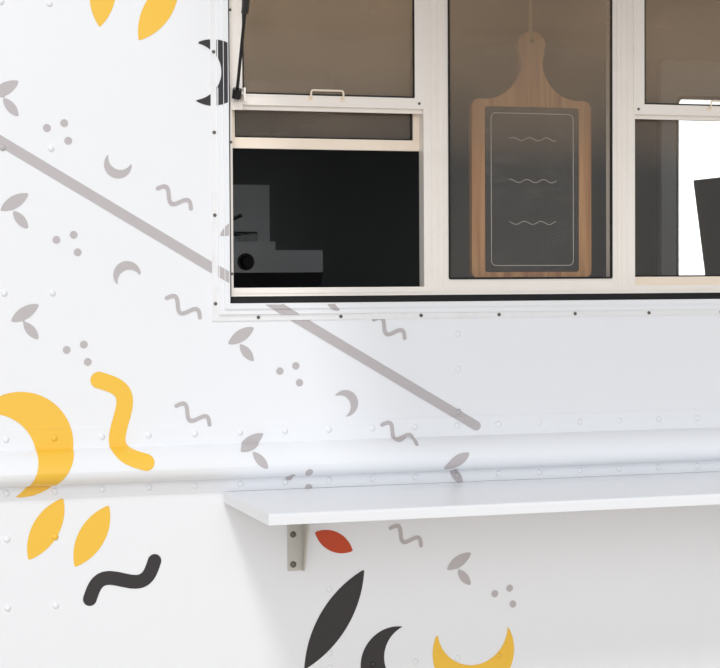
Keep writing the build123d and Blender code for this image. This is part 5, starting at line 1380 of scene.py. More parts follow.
        inside = values < 0
        active = inside[:-1, :-1] | inside[1:, :-1] | inside[1:, 1:] | inside[:-1, 1:]
        for i, j in zip(*np.nonzero(active)):
            corners = [(i, j), (i + 1, j), (i + 1, j + 1), (i, j + 1)]
            loop = []
            for n in range(4):
                (ai, aj), (bi, bj) = corners[n], corners[(n + 1) % 4]
                va, vb = values[ai, aj], values[bi, bj]
                if va < 0:
                    loop.append(vertex((ai, aj), gx[ai], gz[aj]))
                if (va < 0) != (vb < 0):
                    t = va / (va - vb)
                    key = (min((ai, aj), (bi, bj)), max((ai, aj), (bi, bj)))
                    x, z = gx[ai] + t * (gx[bi] - gx[ai]), gz[aj] + t * (gz[bj] - gz[aj])
                    loop.append(vertex(key, x, z))
            if None in loop or len(loop) < 3:
                continue
            face = loop if side < 0 else loop[::-1]
            try:
                bm.faces.new(face)
            except ValueError:
                continue
        bmesh.ops.dissolve_limit(bm, angle_limit=math.radians(0.6), verts=bm.verts, edges=bm.edges)
        return bm

    def layer_at(self, x: float, z: float) -> Layer | None:
        """Finds the colour that lies over a place, if any."""
        here = np.array([x]), np.array([z])
        for layer, shapes in self.motifs.items():
            if any(self.distance(shape, *here)[0] < 0 for shape in shapes):
                return layer
        return None

    def build(self) -> None:
        """Makes one piece of each colour on each side."""
        for side, label in WALLS:
            for layer, shapes in self.motifs.items():
                mesh_piece(f"vinyl_{layer.value}_{label}", self.cut(shapes, side),
                           self.palette.get(VINYLS[layer]), "truck", 30.0)


@dataclass
class Fasteners:
    """Rivets and screws, each kind one low form that Geometry Nodes set on its points."""

    skin: Skin
    column_x: float
    palette: Palette
    rivet_radius: float = 0.0076
    rivet_height: float = 0.0042
    pitch: float = 0.1016
    least_reach: dict[int, float] = field(default_factory=lambda: {-1: 0.35, 1: 1.05})

    def head(self, name: str, radius: float, height: float) -> Object:
        """Makes the low domed head that is repeated.

        Args:
            name: The form's name.
            radius: Its radius.
            height: How far it stands out.

        Returns:
            The form, not linked to the scene.
        """
        bm = bmesh.new()
        profile = [(radius, 0.0), (radius * 0.86, height * 0.6), (radius * 0.5, height * 0.93), (0.0, height)]
        add_lathe(bm, profile, Matrix.Identity(4), 9)
        form = loose(name, bm)
        all_smooth(form.data)
        return form

    def screw_form(self, name: str, radius: float, height: float) -> Object:
        """Makes a low pan head with a recess in its middle.

        Args:
            name: The form's name.
            radius: Its radius.
            height: How far it stands out.

        Returns:
            The form, not linked to the scene.
        """
        bm = bmesh.new()
        profile = [(radius, 0.0), (radius * 0.94, height * 0.7), (radius * 0.7, height),
                   (radius * 0.32, height), (radius * 0.2, height * 0.45), (0.0, height * 0.4)]
        add_lathe(bm, profile, Matrix.Identity(4), 8)
        return loose(name, bm)

    def scatter(self, name: str, spots: Sequence[Spot], form: Object,
                finish: Finish, body: str, slot: str) -> None:
        """Sets a form on every spot with a Geometry Nodes tree and keeps the plain mesh.

        Args:
            name: The piece's name.
            spots: Each spot's place and outward direction.
            form: The form to repeat.
            finish: Its finish.
            body: The body that carries it.
            slot: The record's material slot; not used.
        """
        material = self.palette.get(finish)
        tree = bpy.data.node_groups.new(name, "GeometryNodeTree")
        tree.interface.new_socket("Geometry", in_out="INPUT", socket_type="NodeSocketGeometry")
        tree.interface.new_socket("Size", in_out="INPUT", socket_type="NodeSocketFloat").default_value = 1.0
        tree.interface.new_socket("Geometry", in_out="OUTPUT", socket_type="NodeSocketGeometry")
        graph = Graph(tree)
        source = graph.add("NodeGroupInput")
        shape = graph.add("GeometryNodeObjectInfo", {"Object": form}, transform_space="ORIGINAL")
        outward = graph.add("GeometryNodeInputNamedAttribute", {"Name": "outward"}, data_type="FLOAT_VECTOR")
        turned = graph.add("FunctionNodeAlignRotationToVector", {"Vector": outward.outputs[0]}, axis="Z")
        placed = graph.add("GeometryNodeInstanceOnPoints", {
            "Points": source.outputs["Geometry"], "Instance": shape.outputs["Geometry"],
            "Rotation": turned.outputs[0], "Scale": source.outputs["Size"]})
        real = graph.add("GeometryNodeRealizeInstances", {"Geometry": placed.outputs[0]})
        painted = graph.add("GeometryNodeSetMaterial", {"Geometry": real.outputs[0], "Material": material})
        graph.add("NodeGroupOutput", {0: painted.outputs[0]})
        mesh = bpy.data.meshes.new(name + "_spots")
        mesh.from_pydata([s[0] for s in spots], [], [])
        heading = mesh.attributes.new("outward", "FLOAT_VECTOR", "POINT")
        heading.data.foreach_set("vector", [c for s in spots for c in s[1]])
        holder = show(bpy.data.objects.new(name + "_spots", mesh))
        holder.modifiers.new("repeat", "NODES").node_group = tree
        plain = baked(holder)
        bpy.data.objects.remove(holder)
        plain.name = name
        piece = show(bpy.data.objects.new(name, plain))
        if not plain.materials:
            plain.materials.append(material)
        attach(piece, body)
        LOG.info("%s: %d spots, %d faces", name, len(spots), len(plain.polygons))

    def wall_spots(self) -> Outline:
        """Lists the rivets of one side in metres from the first rivet column.

        Returns:
            The places as (x, z).
        """
        along = [n * self.pitch for n in range(-20, 26)]
        column = [2.64 - k * 0.153 for k in range(13)]
        spots = [(x, z) for x in along for z in (1.312, 1.198)]
        seam = (2.54, 2.234, 1.928, 1.621, 1.1, 0.953, 0.806, 0.66)
        spots += [(x, z) for x in (0.0, self.pitch) for z in seam]
        spots += [(x, z) for x in (-1.219, -1.1174, 2.134, 2.2356) for z in column]
        spots += [(0.711 + n * self.pitch, 0.777) for n in range(5)]
        spots += [(0.711, 0.953), (0.711, 0.809), (1.02, 1.521), (1.02, 1.441), (1.02, 1.343)]
        return spots + [(x, z) for x in along for z in (2.705, 0.53)]

    def build(self, graphics: Graphics) -> None:
        """Makes the wall rivets of both sides, those under vinyl in its colour.

        Args:
            graphics: The vinyl.
        """
        rivet = self.head("rivet_form", self.rivet_radius, self.rivet_height)
        for side, label in WALLS:
            spots: dict[Layer | None, list[Spot]] = {}
            for x, z in self.wall_spots():
                wx = self.column_x + x
                y = self.skin.hit(wx, z, side)
                if y is None or y * side < self.least_reach[side]:
                    continue
                spots.setdefault(graphics.layer_at(x, z), []).append(((wx, y, z), (0.0, float(side), 0.0)))
            for layer, places in spots.items():
                name = f"rivets_{label}" + (f"_{layer.value}" if layer else "")
                self.scatter(name, places, rivet, VINYLS.get(layer, WHITE), "truck", "white_paint")


@dataclass
class Wheels:
    """Treaded tyres in place of the plain ones, and the wheel nuts."""

    datum: Datum
    palette: Palette
    fasteners: Fasteners
    axle_z: float = 0.4055
    tread_r: float = 0.4055
    crown_drop: float = 0.0135
    shoulder: float = 0.093
    groove: float = 0.0095
    pitches: int = 54
    slant: float = 0.55
    front: Pair = (2.6, 0.98)
    rear: Pair = (-1.9, 0.75)
    dual_pitch: float = 0.275

    def profile(self) -> list[Point]:
        """Lays out half of the tyre's section, from the middle of the tread to the bead.

        Returns:
            Offset from the middle, radius, and how far a cross groove cuts in there.
        """
        def tread(y: float) -> float:
            """The crowned tread's radius."""
            return self.tread_r - self.crown_drop * (y / self.shoulder) ** 2

        rows: list[Point] = []
        for start, end, cross in ((0.0, 0.016, 0.0), (0.028, 0.052, 0.004), (0.064, 0.089, 0.0085)):
            rows += [(start, tread(start), cross), (end, tread(end), cross)]
            if end < 0.06:
                floor = tread(end + 0.006) - self.groove
                rows += [(end + 0.002, floor, 0.0), (end + 0.010, floor, 0.0)]
        rows += [(0.0955, 0.3875, 0.0085), (0.1035, 0.373, 0.006), (0.1075, 0.358, 0.0), (0.1105, 0.346, 0.0),
                 (0.1125, 0.344, 0.0), (0.1128, 0.332, 0.0), (0.1110, 0.329, 0.0), (0.1085, 0.312, 0.0),
                 (0.1035, 0.291, 0.0), (0.1015, 0.287, 0.0), (0.0995, 0.284, 0.0), (0.0885, 0.266, 0.0),
                 (0.0855, 0.2615, 0.0), (0.0838, 0.2485, 0.0)]
        return rows

    def add_tyre(self, bm: BMesh, x: float, y: float) -> None:
        """Adds one tyre.

        Args:
            bm: The mesh to add to.
            x: Its axle's place.
            y: Its middle plane.
        """
        half = self.profile()
        rows = [(-o, r, c) for o, r, c in reversed(half[1:])] + half
        rings = []
        for n in range(self.pitches * 4):
            pitch, part = divmod(n, 4)
            share = (0.0, 0.07, 0.74, 0.81)[part]
            cut = part in (0, 3)
            ring = []
            for offset, radius, cross in rows:
                turn = 2 * math.pi * (pitch + share + (0.5 if offset < 0 else 0.0)) / self.pitches
                turn += self.slant * min(max(abs(offset) - 0.028, 0.0), 0.07)
                r = radius - (cross if cut else 0.0)
                place = (x + r * math.cos(turn), y + offset, self.axle_z + r * math.sin(turn))
                ring.append(bm.verts.new(place))
            rings.append(ring)
        for a, b in zip(rings, rings[1:] + rings[:1]):
            for k in range(len(rows)):
                m = (k + 1) % len(rows)
                bm.faces.new((a[k], b[k], b[m], a[m]))

    def nut_form(self) -> Object:
        """Makes the wheel nut that is repeated, with its stud's end."""
        bm = bmesh.new()
        nut = [(0.0175, 0.0), (0.0175, 0.013), (0.0145, 0.017), (0.0095, 0.017)]
        stud = [(0.0088, 0.012), (0.0088, 0.027), (0.007, 0.029), (0.0, 0.029)]
        add_lathe(bm, nut, Matrix.Identity(4), 6)
        add_lathe(bm, stud, Matrix.Identity(4), 8)
        return loose("nut_form", bm)

    def tyres(self, name: str, body: str, side: int, hub: Pair, count: int) -> Object:
        """Makes the tyres of one hub.

        Args:
            name: The piece's name.
            body: The body that carries it.
            side: -1 for the right side, 1 for the left.
            hub: The axle's place and the inner tyre's distance from the middle line.
            count: How many tyres it has.

        Returns:
            The piece.
        """
        bm = bmesh.new()
        for n in range(count):
            self.add_tyre(bm, hub[0], self.datum.side_y(side, hub[1] + n * self.dual_pitch))
        return mesh_piece(name, bm, self.palette.get(RUBBER), body, 32.0)

    def ring(self, side: int, x: float, reach: float, count: int, radius: float) -> list[Spot]:
        """Lists the spots of a ring of nuts or bolts about an axle."""
        y, out = self.datum.side_y(side, reach), (0.0, float(side), 0.0)
        return [((x + px, y, self.axle_z + pz), out) for px, pz in on_circle(count, radius)]

    def build(self) -> None:
        """Makes the tyres and nuts of every wheel."""
        nut = self.nut_form()
        bolt = self.fasteners.head("flange_bolt_form", 0.009, 0.009)
        front_x, front_reach = self.front
        rear_x, rear_reach = self.rear
        for side, label in SIDES:
            body = f"wheel_front_{label}"
            piece = self.tyres(f"treaded_tyre_front_{label}", body, side, self.front, 1)
            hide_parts(f"front_tyre_{label}")
            spots = self.ring(side, front_x, front_reach + 0.072, 10, 0.112)
            self.fasteners.scatter(f"wheel_nuts_front_{label}", spots, nut, ZINC, body, "wheel_steel")
            body = f"wheels_rear_{label}"
            piece = self.tyres(f"treaded_tyres_rear_{label}", body, side, self.rear, 2)
            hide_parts(f"rear_tyres_{label}")
            spots = self.ring(side, rear_x, rear_reach + self.dual_pitch / 2 + 0.012, 10, 0.118)
            self.fasteners.scatter(f"wheel_nuts_rear_{label}", spots, nut, ZINC, body, "wheel_steel")
            spots = self.ring(side, rear_x, rear_reach + self.dual_pitch + 0.07, 8, 0.067)
            self.fasteners.scatter(f"axle_bolts_{label}", spots, bolt, ZINC, body, "wheel_steel")


@dataclass
class WindowFittings:
    """What is fixed to the serving window: glazing beads, screws, the pull, and the board's face."""

    datum: Datum
    palette: Palette
    fasteners: Fasteners
    nodes: dict[str, Object]
    strip_start: float = 0.551
    strip_pitch: float = 0.1895
    strip_rows: Pair = (1.564, 2.536)
    strip_ends: Pair = (0.455, 1.974)
    strip_heights: tuple[float, ...] = (1.595, 1.788, 1.968, 2.143, 2.318, 2.493)
    light_starts: Pair = (0.5145, 1.4825)
    light_rows: Pair = (2.045, 2.462)
    jamb_x: Pair = (0.4985, 1.9305)
    jamb_heights: tuple[float, ...] = (1.66, 1.95, 2.24, 2.45)
    head_x: tuple[float, ...] = (0.62, 0.98, WINDOW_X, 1.449, 1.81)
    head_z: float = 2.477
    pull_x: Pair = (0.7185, 1.7105)
    pull_z: Pair = (2.05, 2.068)
    board_at: Point = (1.2355, -0.078, 1.855)
    board_half: Point = (0.1185, 0.193, 0.0022)
    chalk_half: Pair = (0.104, 0.178)
    chalk_rows: Point = (0.118, 0.02, -0.078)

    def spot(self, x: float, w: float, z: float) -> Point:
        """A place x from the first rivet column, w out from the wall and z up."""
        return (self.datum.column_x + x, self.datum.wall_y - w, z)

    def beads(self) -> None:
        """Makes the dark glazing rubber round every pane."""
        bm = bmesh.new()
        for low, high in solid_boxes(self.nodes["window_glass"]):
            centre = (low + high) / 2
            half = (high.x - low.x) / 2, (high.z - low.z) / 2
            for y, way in ((low.y, -1), (high.y, 1)):
                place = facing((centre.x, y, centre.z), (0, way, 0))
                add_rim(bm, place, half, (0.0035, 0.0008), (-0.0004, 0.0026), 0.004)
        mesh_piece("glazing_rubber", bm, self.palette.get(GASKET), "truck", 30.0)

    def screws(self) -> None:
        """Sets the small screws of the trim strip, the frame and the sashes."""
        large = self.fasteners.screw_form("pan_screw_form", 0.0042, 0.0022)
        small = self.fasteners.screw_form("sash_screw_form", 0.0034, 0.0016)
        along = [self.strip_start + k * self.strip_pitch for k in range(8)]
        strip = [(x, 0.003, z) for x in along for z in self.strip_rows]
        strip += [(x, 0.003, z) for z in self.strip_heights for x in self.strip_ends]
        lights = [base + dx for base in self.light_starts for dx in (0.004, 0.424)]
        frame = [(x, -0.027, z) for x in lights for z in self.light_rows]
        frame += [(x + 0.0012, -0.028, z) for x in self.jamb_x for z in self.jamb_heights]
        frame += [(x, -0.0278, self.head_z) for x in self.head_x]
        for name, places, form, slot in (("strip_screws", strip, large, "trim_metal"),
                                         ("frame_screws", frame, small, "anodised")):
            spots = [(self.spot(*place), OUT) for place in places]
            self.fasteners.scatter(name, spots, form, SCREW, "truck", slot)

    def pull(self) -> None:
        """Makes the bail pull above the meeting rail of the raised sash's light."""
        bm = bmesh.new()
        for base in self.pull_x:
            feet = [self.spot(base + dx, -0.027, self.pull_z[0]) for dx in (-0.0375, 0.0375)]
            for foot in feet:
                add_slab(bm, facing(foot, OUT), (0.006, 0.005, 0.002), 0.002, 0.0006)
            out = [self.spot(base + dx, -0.018, z) for z in self.pull_z for dx in (-0.0375, 0.0375)]
            add_tube(bm, bend([feet[0], out[0], out[2], out[3], out[1], feet[1]], 0.006), 0.0022, 8)
        mesh_piece("sash_pulls", bm, self.palette.get(SASH_WARM_REFLECTION), "truck", 40.0)

    def board_face(self) -> None:
        """Makes the blackboard panel on the menu board, with its chalk border."""
        x, w, z = self.board_at
        bm = bmesh.new()
        add_slab(bm, facing(self.spot(x, w, z), OUT), self.board_half, 0.006, 0.0006)
        mesh_piece("board_panel", bm, self.palette.get(ChalkFinish()), "truck", 30.0)
        bm = bmesh.new()
        front = w + self.board_half[2]
        place = facing(self.spot(x, front, z), OUT)
        add_rim(bm, place, self.chalk_half, (0.0008, 0.0008), (-0.0001, 0.0003), 0.012)
        for row, lift in enumerate(self.chalk_rows):
            points = [self.spot(x - 0.06 + n * 0.006, front, z + lift + 0.004 * math.sin(n * 0.9 + row))
                      for n in range(21)]
            add_tube(bm, points, 0.0007, 4)
        mesh_piece("chalk_border", bm, self.palette.get(CHALK), "truck", 30.0)

    def shelf_fixings(self) -> None:
        """Sets the bolts of the shelf's wall brackets."""
        form = self.fasteners.head("bracket_bolt_form", 0.0075, 0.0045)
        spots = [((low.x + 0.012, self.datum.wall_y - 0.004, z), OUT)
                 for low, _ in solid_boxes(self.nodes["shelf_brackets"]) for z in (1.014, 1.081)]
        self.fasteners.scatter("bracket_bolts", spots, form, SCREW, "truck", "trim_metal")

    def build(self) -> None:
        """Makes every fitting of the window."""
        self.beads()
        self.screws()
        self.pull()
        self.board_face()
        self.shelf_fixings()


@dataclass
class Glazing:
    """Rubber seals round the panes of the cab and the rear doors, and the wipers."""

    datum: Datum
    palette: Palette
    nodes: dict[str, Object]
    screen_lean: float = 0.22 / 1.3
    screen_foot: Pair = (3.06, 1.44)
    wiper_inset: float = 0.12
    wiper_reach: float = 0.3
    wiper_z: Pair = (1.475, 1.655)
    mirror_at: Point = (2.6702, 1.37, 1.92)
    mirror_half: Pair = (0.076, 0.18)

    def door_seals(self) -> None:
        """Makes the seals of the four door panes."""
        for _, label in SIDES:
            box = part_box(f"cab_door_glass_{label}")
            self.seal(f"door_seal_{label}", f"door_{label}", box, (((0, -1, 0), 0.0165), ((0, 1, 0), 0.0165)))
            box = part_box(f"rear_glass_{label}")
            self.seal(f"rear_seal_{label}", f"rear_door_{label}", box,
                      (((-1, 0, 0), 0.0195), ((1, 0, 0), 0.0175)))

    def seal(self, name: str, body: str, box: Sequence[Vector], faces: Sequence[tuple[Point, float]]) -> None:
        """Makes the rubber round both faces of an upright pane.

        Args:
            name: The piece's name.
            body: The body that carries it.
            box: The pane's lowest and highest corner.
            faces: Each face's direction and how far the rubber stands out there.
        """
        low, high = box
        half = max(high.x - low.x, high.y - low.y) / 2, (high.z - low.z) / 2
        bm = bmesh.new()
        for way, reach in faces:
            add_rim(bm, facing(tuple((low + high) / 2), way), half, (0.009, 0.006), (0.001, reach), 0.03)
        mesh_piece(name, bm, self.palette.get(FLAP), body, 30.0)

    def screen_place(self, y: float, z: float, lift: float) -> Point:
        """A place on the windscreen's outer plane.

        Args:
            y: Its Y.
            z: Its height.
            lift: How far in front of the plane.

        Returns:
            The place.
        """
        slope = Vector((1.0, 0.0, self.screen_lean)).normalized()
        foot_x, foot_z = self.screen_foot
        x = foot_x - (z - foot_z) * self.screen_lean
        return tuple(Vector((x, y, z)) + slope * lift)

    def screen_seals(self) -> None:
        """Makes the seals of the two windscreen panes."""
        bm = bmesh.new()
        for low, high in solid_boxes(self.nodes["windscreen"]):
            middle = (low + high) / 2
            place = facing(self.screen_place(middle.y, middle.z, 0.0), (1.0, 0.0, self.screen_lean))
            half_h = (high.z - low.z) / 2 * math.hypot(1.0, self.screen_lean)
            half = as_placed(place, (high.y - low.y) / 2, half_h)
            add_rim(bm, place, half, (0.008, 0.010), (-0.013, 0.004), 0.03)
        mesh_piece("screen_seals", bm, self.palette.get(FLAP), "truck", 30.0)

    def wipers(self) -> None:
        """Makes two wipers parked low on the windscreen."""
        steel, rubber = bmesh.new(), bmesh.new()
        for low, _ in solid_boxes(self.nodes["windscreen"]):
            y0, z0 = low.y + self.wiper_inset, self.wiper_z[0]
            tip_y, tip_z = y0 + self.wiper_reach, self.wiper_z[1]
            add_lathe(steel, [(0.019, 0.0), (0.019, 0.016), (0.013, 0.024), (0.0, 0.026)],
                      facing(self.screen_place(y0, z0, 0.0), (1.0, 0.0, self.screen_lean)), 16)
            arm = [self.screen_place(y0, z0, 0.018), self.screen_place(y0 + 0.08, 1.52, 0.026),
                   self.screen_place(tip_y, tip_z, 0.02)]
            add_tube(steel, arm, 0.0055, 6)
            ends = [(tip_y - 0.235, tip_z - 0.04), (tip_y + 0.235, tip_z + 0.035)]
            blade = [self.screen_place(y, z, 0.004) for y, z in ends]
            bar = [self.screen_place(y, z, 0.015) for y, z in ends]
            add_tube(steel, bar, 0.004, 6)
            add_tube(rubber, blade, 0.0045, 6)
            for share in (0.12, 0.5, 0.88):
                a = Vector(blade[0]).lerp(Vector(blade[1]), share)
                b = Vector(bar[0]).lerp(Vector(bar[1]), share)
                add_tube(steel, (tuple(a), tuple(b)), 0.0035, 6)
        mesh_piece("wiper_arms", steel, self.palette.get(BLACK_PAINT), "truck", 40.0)
        mesh_piece("wiper_blades", rubber, self.palette.get(FLAP), "truck", 40.0)

    def mirror_faces(self) -> None:
        """Makes the silvered glass of both mirrors and its rubber edge."""
        glass, edge = bmesh.new(), bmesh.new()
        x, reach, z = self.mirror_at
        for side, _ in SIDES:
            place = facing((x, self.datum.side_y(side, reach), z), (-1, 0, 0))
            half = as_placed(place, *self.mirror_half)
            add_slab(glass, place, (*half, 0.0022), 0.024, 0.0006)
            add_rim(edge, place, half, (0.002, 0.005), (0.0, 0.0045), 0.024)
        mesh_piece("mirror_glass", glass, self.palette.get(MirrorFinish()), "truck", 30.0)
        mesh_piece("mirror_edges", edge, self.palette.get(FLAP), "truck", 30.0)

    def build(self) -> None:
        """Makes every seal, wiper and mirror face."""
        self.door_seals()
        self.screen_seals()
        self.wipers()
        self.mirror_faces()


@dataclass
class Trim:
    """The small outer trim: lamp bezels, the blank rear plate, and roof seams."""

    datum: Datum
    palette: Palette
    nodes: dict[str, Object]
    skin: Skin
    fasteners: Fasteners
    headlamp_x: float = 3.42
    tail_lamp_x: float = -3.46
    plate_at: Pair = (-3.57, 0.378)
    plate_half: Point = (0.076, 0.152, 0.0016)
    bolts_at: Pair = (-3.5716, 0.34)
    bolt_reach: float = 0.089
    roof_bows: tuple[float, ...] = (-3.36, -2.48, -1.86, -0.94, -0.32, 0.3, 0.92, 1.54, 2.16, 2.74)
    seam_half_width: float = 1.1
    seam_runs: int = 40
    seam_lift: float = 0.0016

    def bezels(self) -> None:
        """Makes a bright ring round each headlamp and a black one round each tail lamp."""
        bright, black = bmesh.new(), bmesh.new()
        for low, high in solid_boxes(self.nodes["lamps"]):
            if high.y - low.y < 0.08:
                continue
            centre = (low + high) / 2
            radius = (high.y - low.y) / 2
            front = centre.x > 0
            x = self.headlamp_x if front else self.tail_lamp_x
            place = facing((x, centre.y, centre.z), (1 if front else -1, 0, 0))
            lift = 0.012 if front else 0.009
            ring = [(radius + 0.012, 0.0), (radius + 0.011, lift), (radius + 0.003, lift + 0.004),
                    (radius - 0.007, lift + 0.002), (radius - 0.008, 0.0)]
            add_lathe(bright if front else black, ring + ring[:1], place, 48)
        mesh_piece("headlamp_bezels", bright, self.palette.get(CHROME), "truck", 40.0)
        mesh_piece("tail_lamp_rings", black, self.palette.get(FLAP), "truck", 40.0)

    def plate(self) -> None:
        """Makes the blank registration plate with its two bolts."""
        bm = bmesh.new()
        x, z = self.plate_at
        add_slab(bm, facing((x, self.datum.centre_y, z), (-1, 0, 0)), self.plate_half, 0.01, 0.0005)
        mesh_piece("blank_plate", bm, self.palette.get(PLATE), "truck", 30.0)
        form = self.fasteners.head("plate_bolt_form", 0.008, 0.005)
        x, z = self.bolts_at
        spots = [((x, self.datum.centre_y + dy, z), (-1.0, 0.0, 0.0))
                 for dy in (-self.bolt_reach, self.bolt_reach)]
        self.fasteners.scatter("plate_bolts", spots, form, ZINC, "truck", "trim_metal")

    def roof_seams(self) -> None:
        """Lays the lapped roof seams over the crown, with a row of rivets along each."""
        bm = bmesh.new()
        spots: list[Spot] = []
        runs, half_width, lift = self.seam_runs, self.seam_half_width, self.seam_lift
        section = ((-0.03, -0.002), (-0.027, lift), (0.027, lift), (0.03, -0.002))
        for x in self.roof_bows:
            rows = []
            for k in range(runs + 1):
                y = self.datum.side_y(1, -half_width + 2 * half_width * k / runs)
                found = self.skin.cast((x, y, self.skin.OUTSIDE), (0, 0, -1))
                if found is None:
                    continue
                top, outward = found
                rows.append([bm.verts.new((x + dx, y, top.z + dz)) for dx, dz in section])
                if 0 < k < runs and k % 2 == 0:
                    spots += [((x + dx, y, top.z + lift), tuple(outward)) for dx in (-0.016, 0.016)]
            for a, b in zip(rows, rows[1:]):
                for n in range(3):
                    bm.faces.new((a[n], a[n + 1], b[n + 1], b[n]))
        mesh_piece("roof_seams", bm, self.palette.get(WHITE), "truck", 30.0)
        rivet = self.fasteners.head("roof_rivet_form", 0.0065, 0.0035)
        self.fasteners.scatter("roof_rivets", spots, rivet, WHITE, "truck", "white_paint")

    def build(self) -> None:
        """Makes every piece of trim."""
        self.bezels()
        self.plate()
        self.roof_seams()


@dataclass
class Kitchen:
    """The range's knobs and grates and the fryer's baskets."""

    datum: Datum
    palette: Palette
    fasteners: Fasteners
    range_x: float = -2.6
    top_z: float = 1.74
    knob_x: tuple[float, ...] = (0.2, 0.4, 0.6, 0.8, 1.08, 1.2, 1.36, 1.48, 1.9, 2.15)
    burner_x: Pair = (1.15, 1.45)
    burner_reach: Pair = (0.64, 0.93)
    basket_x: Pair = (1.9, 2.14)
    basket_half: Pair = (0.1, 0.15)
    basket_draft: float = 0.01
    basket_drop: float = 0.14

    def knob_form(self) -> Object:
        """Makes the control knob that is repeated."""
        bm = bmesh.new()
        profile = [(0.027, 0.0), (0.027, 0.004), (0.02, 0.006), (0.018, 0.024), (0.015, 0.027), (0.0, 0.027)]
        add_lathe(bm, profile, Matrix.Identity(4), 16)
        add_box(bm, (-0.0035, -0.019, 0.02), (0.0035, 0.019, 0.032), 0.001)
        return loose("knob_form", bm)

    def knobs(self) -> None:
        """Sets a row of knobs along the range's front ledge."""
        y = self.datum.side_y(1, 0.43)
        spots = [((self.range_x + x, y, self.top_z - 0.036), OUT) for x in self.knob_x]
        form = self.knob_form()
        self.fasteners.scatter("range_knobs", spots, form, BLACK_PLASTIC, "truck", "black_plastic")

    def grates(self) -> None:
        """Makes a cast grate over each of the four burners."""
        bm = bmesh.new()
        z = self.top_z + 0.044
        for x in [self.range_x + dx for dx in self.burner_x]:
            for reach in self.burner_reach:
                y = self.datum.side_y(1, reach)
                frame = [(x + px, y + py, z) for px, py in rounded(0.138, 0.134, 0.02, 3)]
                add_tube(bm, frame, 0.006, 6, True)
                for turn in range(8):
                    c, s = math.cos(turn * math.pi / 4), math.sin(turn * math.pi / 4)
                    reach_out = 0.136 / max(abs(c), abs(s))
                    add_tube(bm, ((x + 0.045 * c, y + 0.045 * s, z + 0.003),
                                  (x + reach_out * c * 0.98, y + reach_out * s * 0.98, z)), 0.0055, 6)
                for px, py in ((-0.12, -0.12), (0.12, -0.12), (0.12, 0.12), (-0.12, 0.12)):
                    add_tube(bm, ((x + px, y + py, self.top_z), (x + px, y + py, z)), 0.006, 6)
        mesh_piece("burner_grates", bm, self.palette.get(IRON), "truck", 40.0)

    def baskets(self) -> None:
        """Makes two wire baskets hung over the fryer's well."""
        bm = bmesh.new()
        (half_x, half_y), draft, drop = self.basket_half, self.basket_draft, self.basket_drop
        for x in [self.range_x + dx for dx in self.basket_x]:
            y, z = self.datum.side_y(1, 0.78), self.top_z + 0.06
            for fall, inset in ((0.0, 0.0), (drop, draft)):
                outline = rounded(half_x - inset, half_y - inset, 0.02, 3)
                add_tube(bm, [(x + px, y + py, z - fall) for px, py in outline], 0.003, 5, True)
            for n in range(9):
                wire_y = y - 0.14 + n * 0.035
                section = ((-half_x, 0.0), (draft - half_x, drop), (half_x - draft, drop), (half_x, 0.0))
                add_tube(bm, [(x + px, wire_y, z - fall) for px, fall in section], 0.0016, 4)
            for n in range(6):
                wire_x = x - 0.085 + n * 0.034
                section = ((-half_y, 0.0), (draft - half_y, drop), (half_y - draft, drop), (half_y, 0.0))
                add_tube(bm, [(wire_x, y + py, z - fall) for py, fall in section], 0.0016, 4)
            handle = [(x, y - half_y, z), (x, y - 0.2, z + 0.04), (x, y - 0.36, z + 0.05)]
            add_tube(bm, bend(handle, 0.02), 0.006, 8)
        mesh_piece("fryer_baskets", bm, self.palette.get(STAINLESS), "truck", 40.0)

    def build(self) -> None:
        """Makes the kitchen's small pieces."""
        self.knobs()
        self.grates()
        self.baskets()


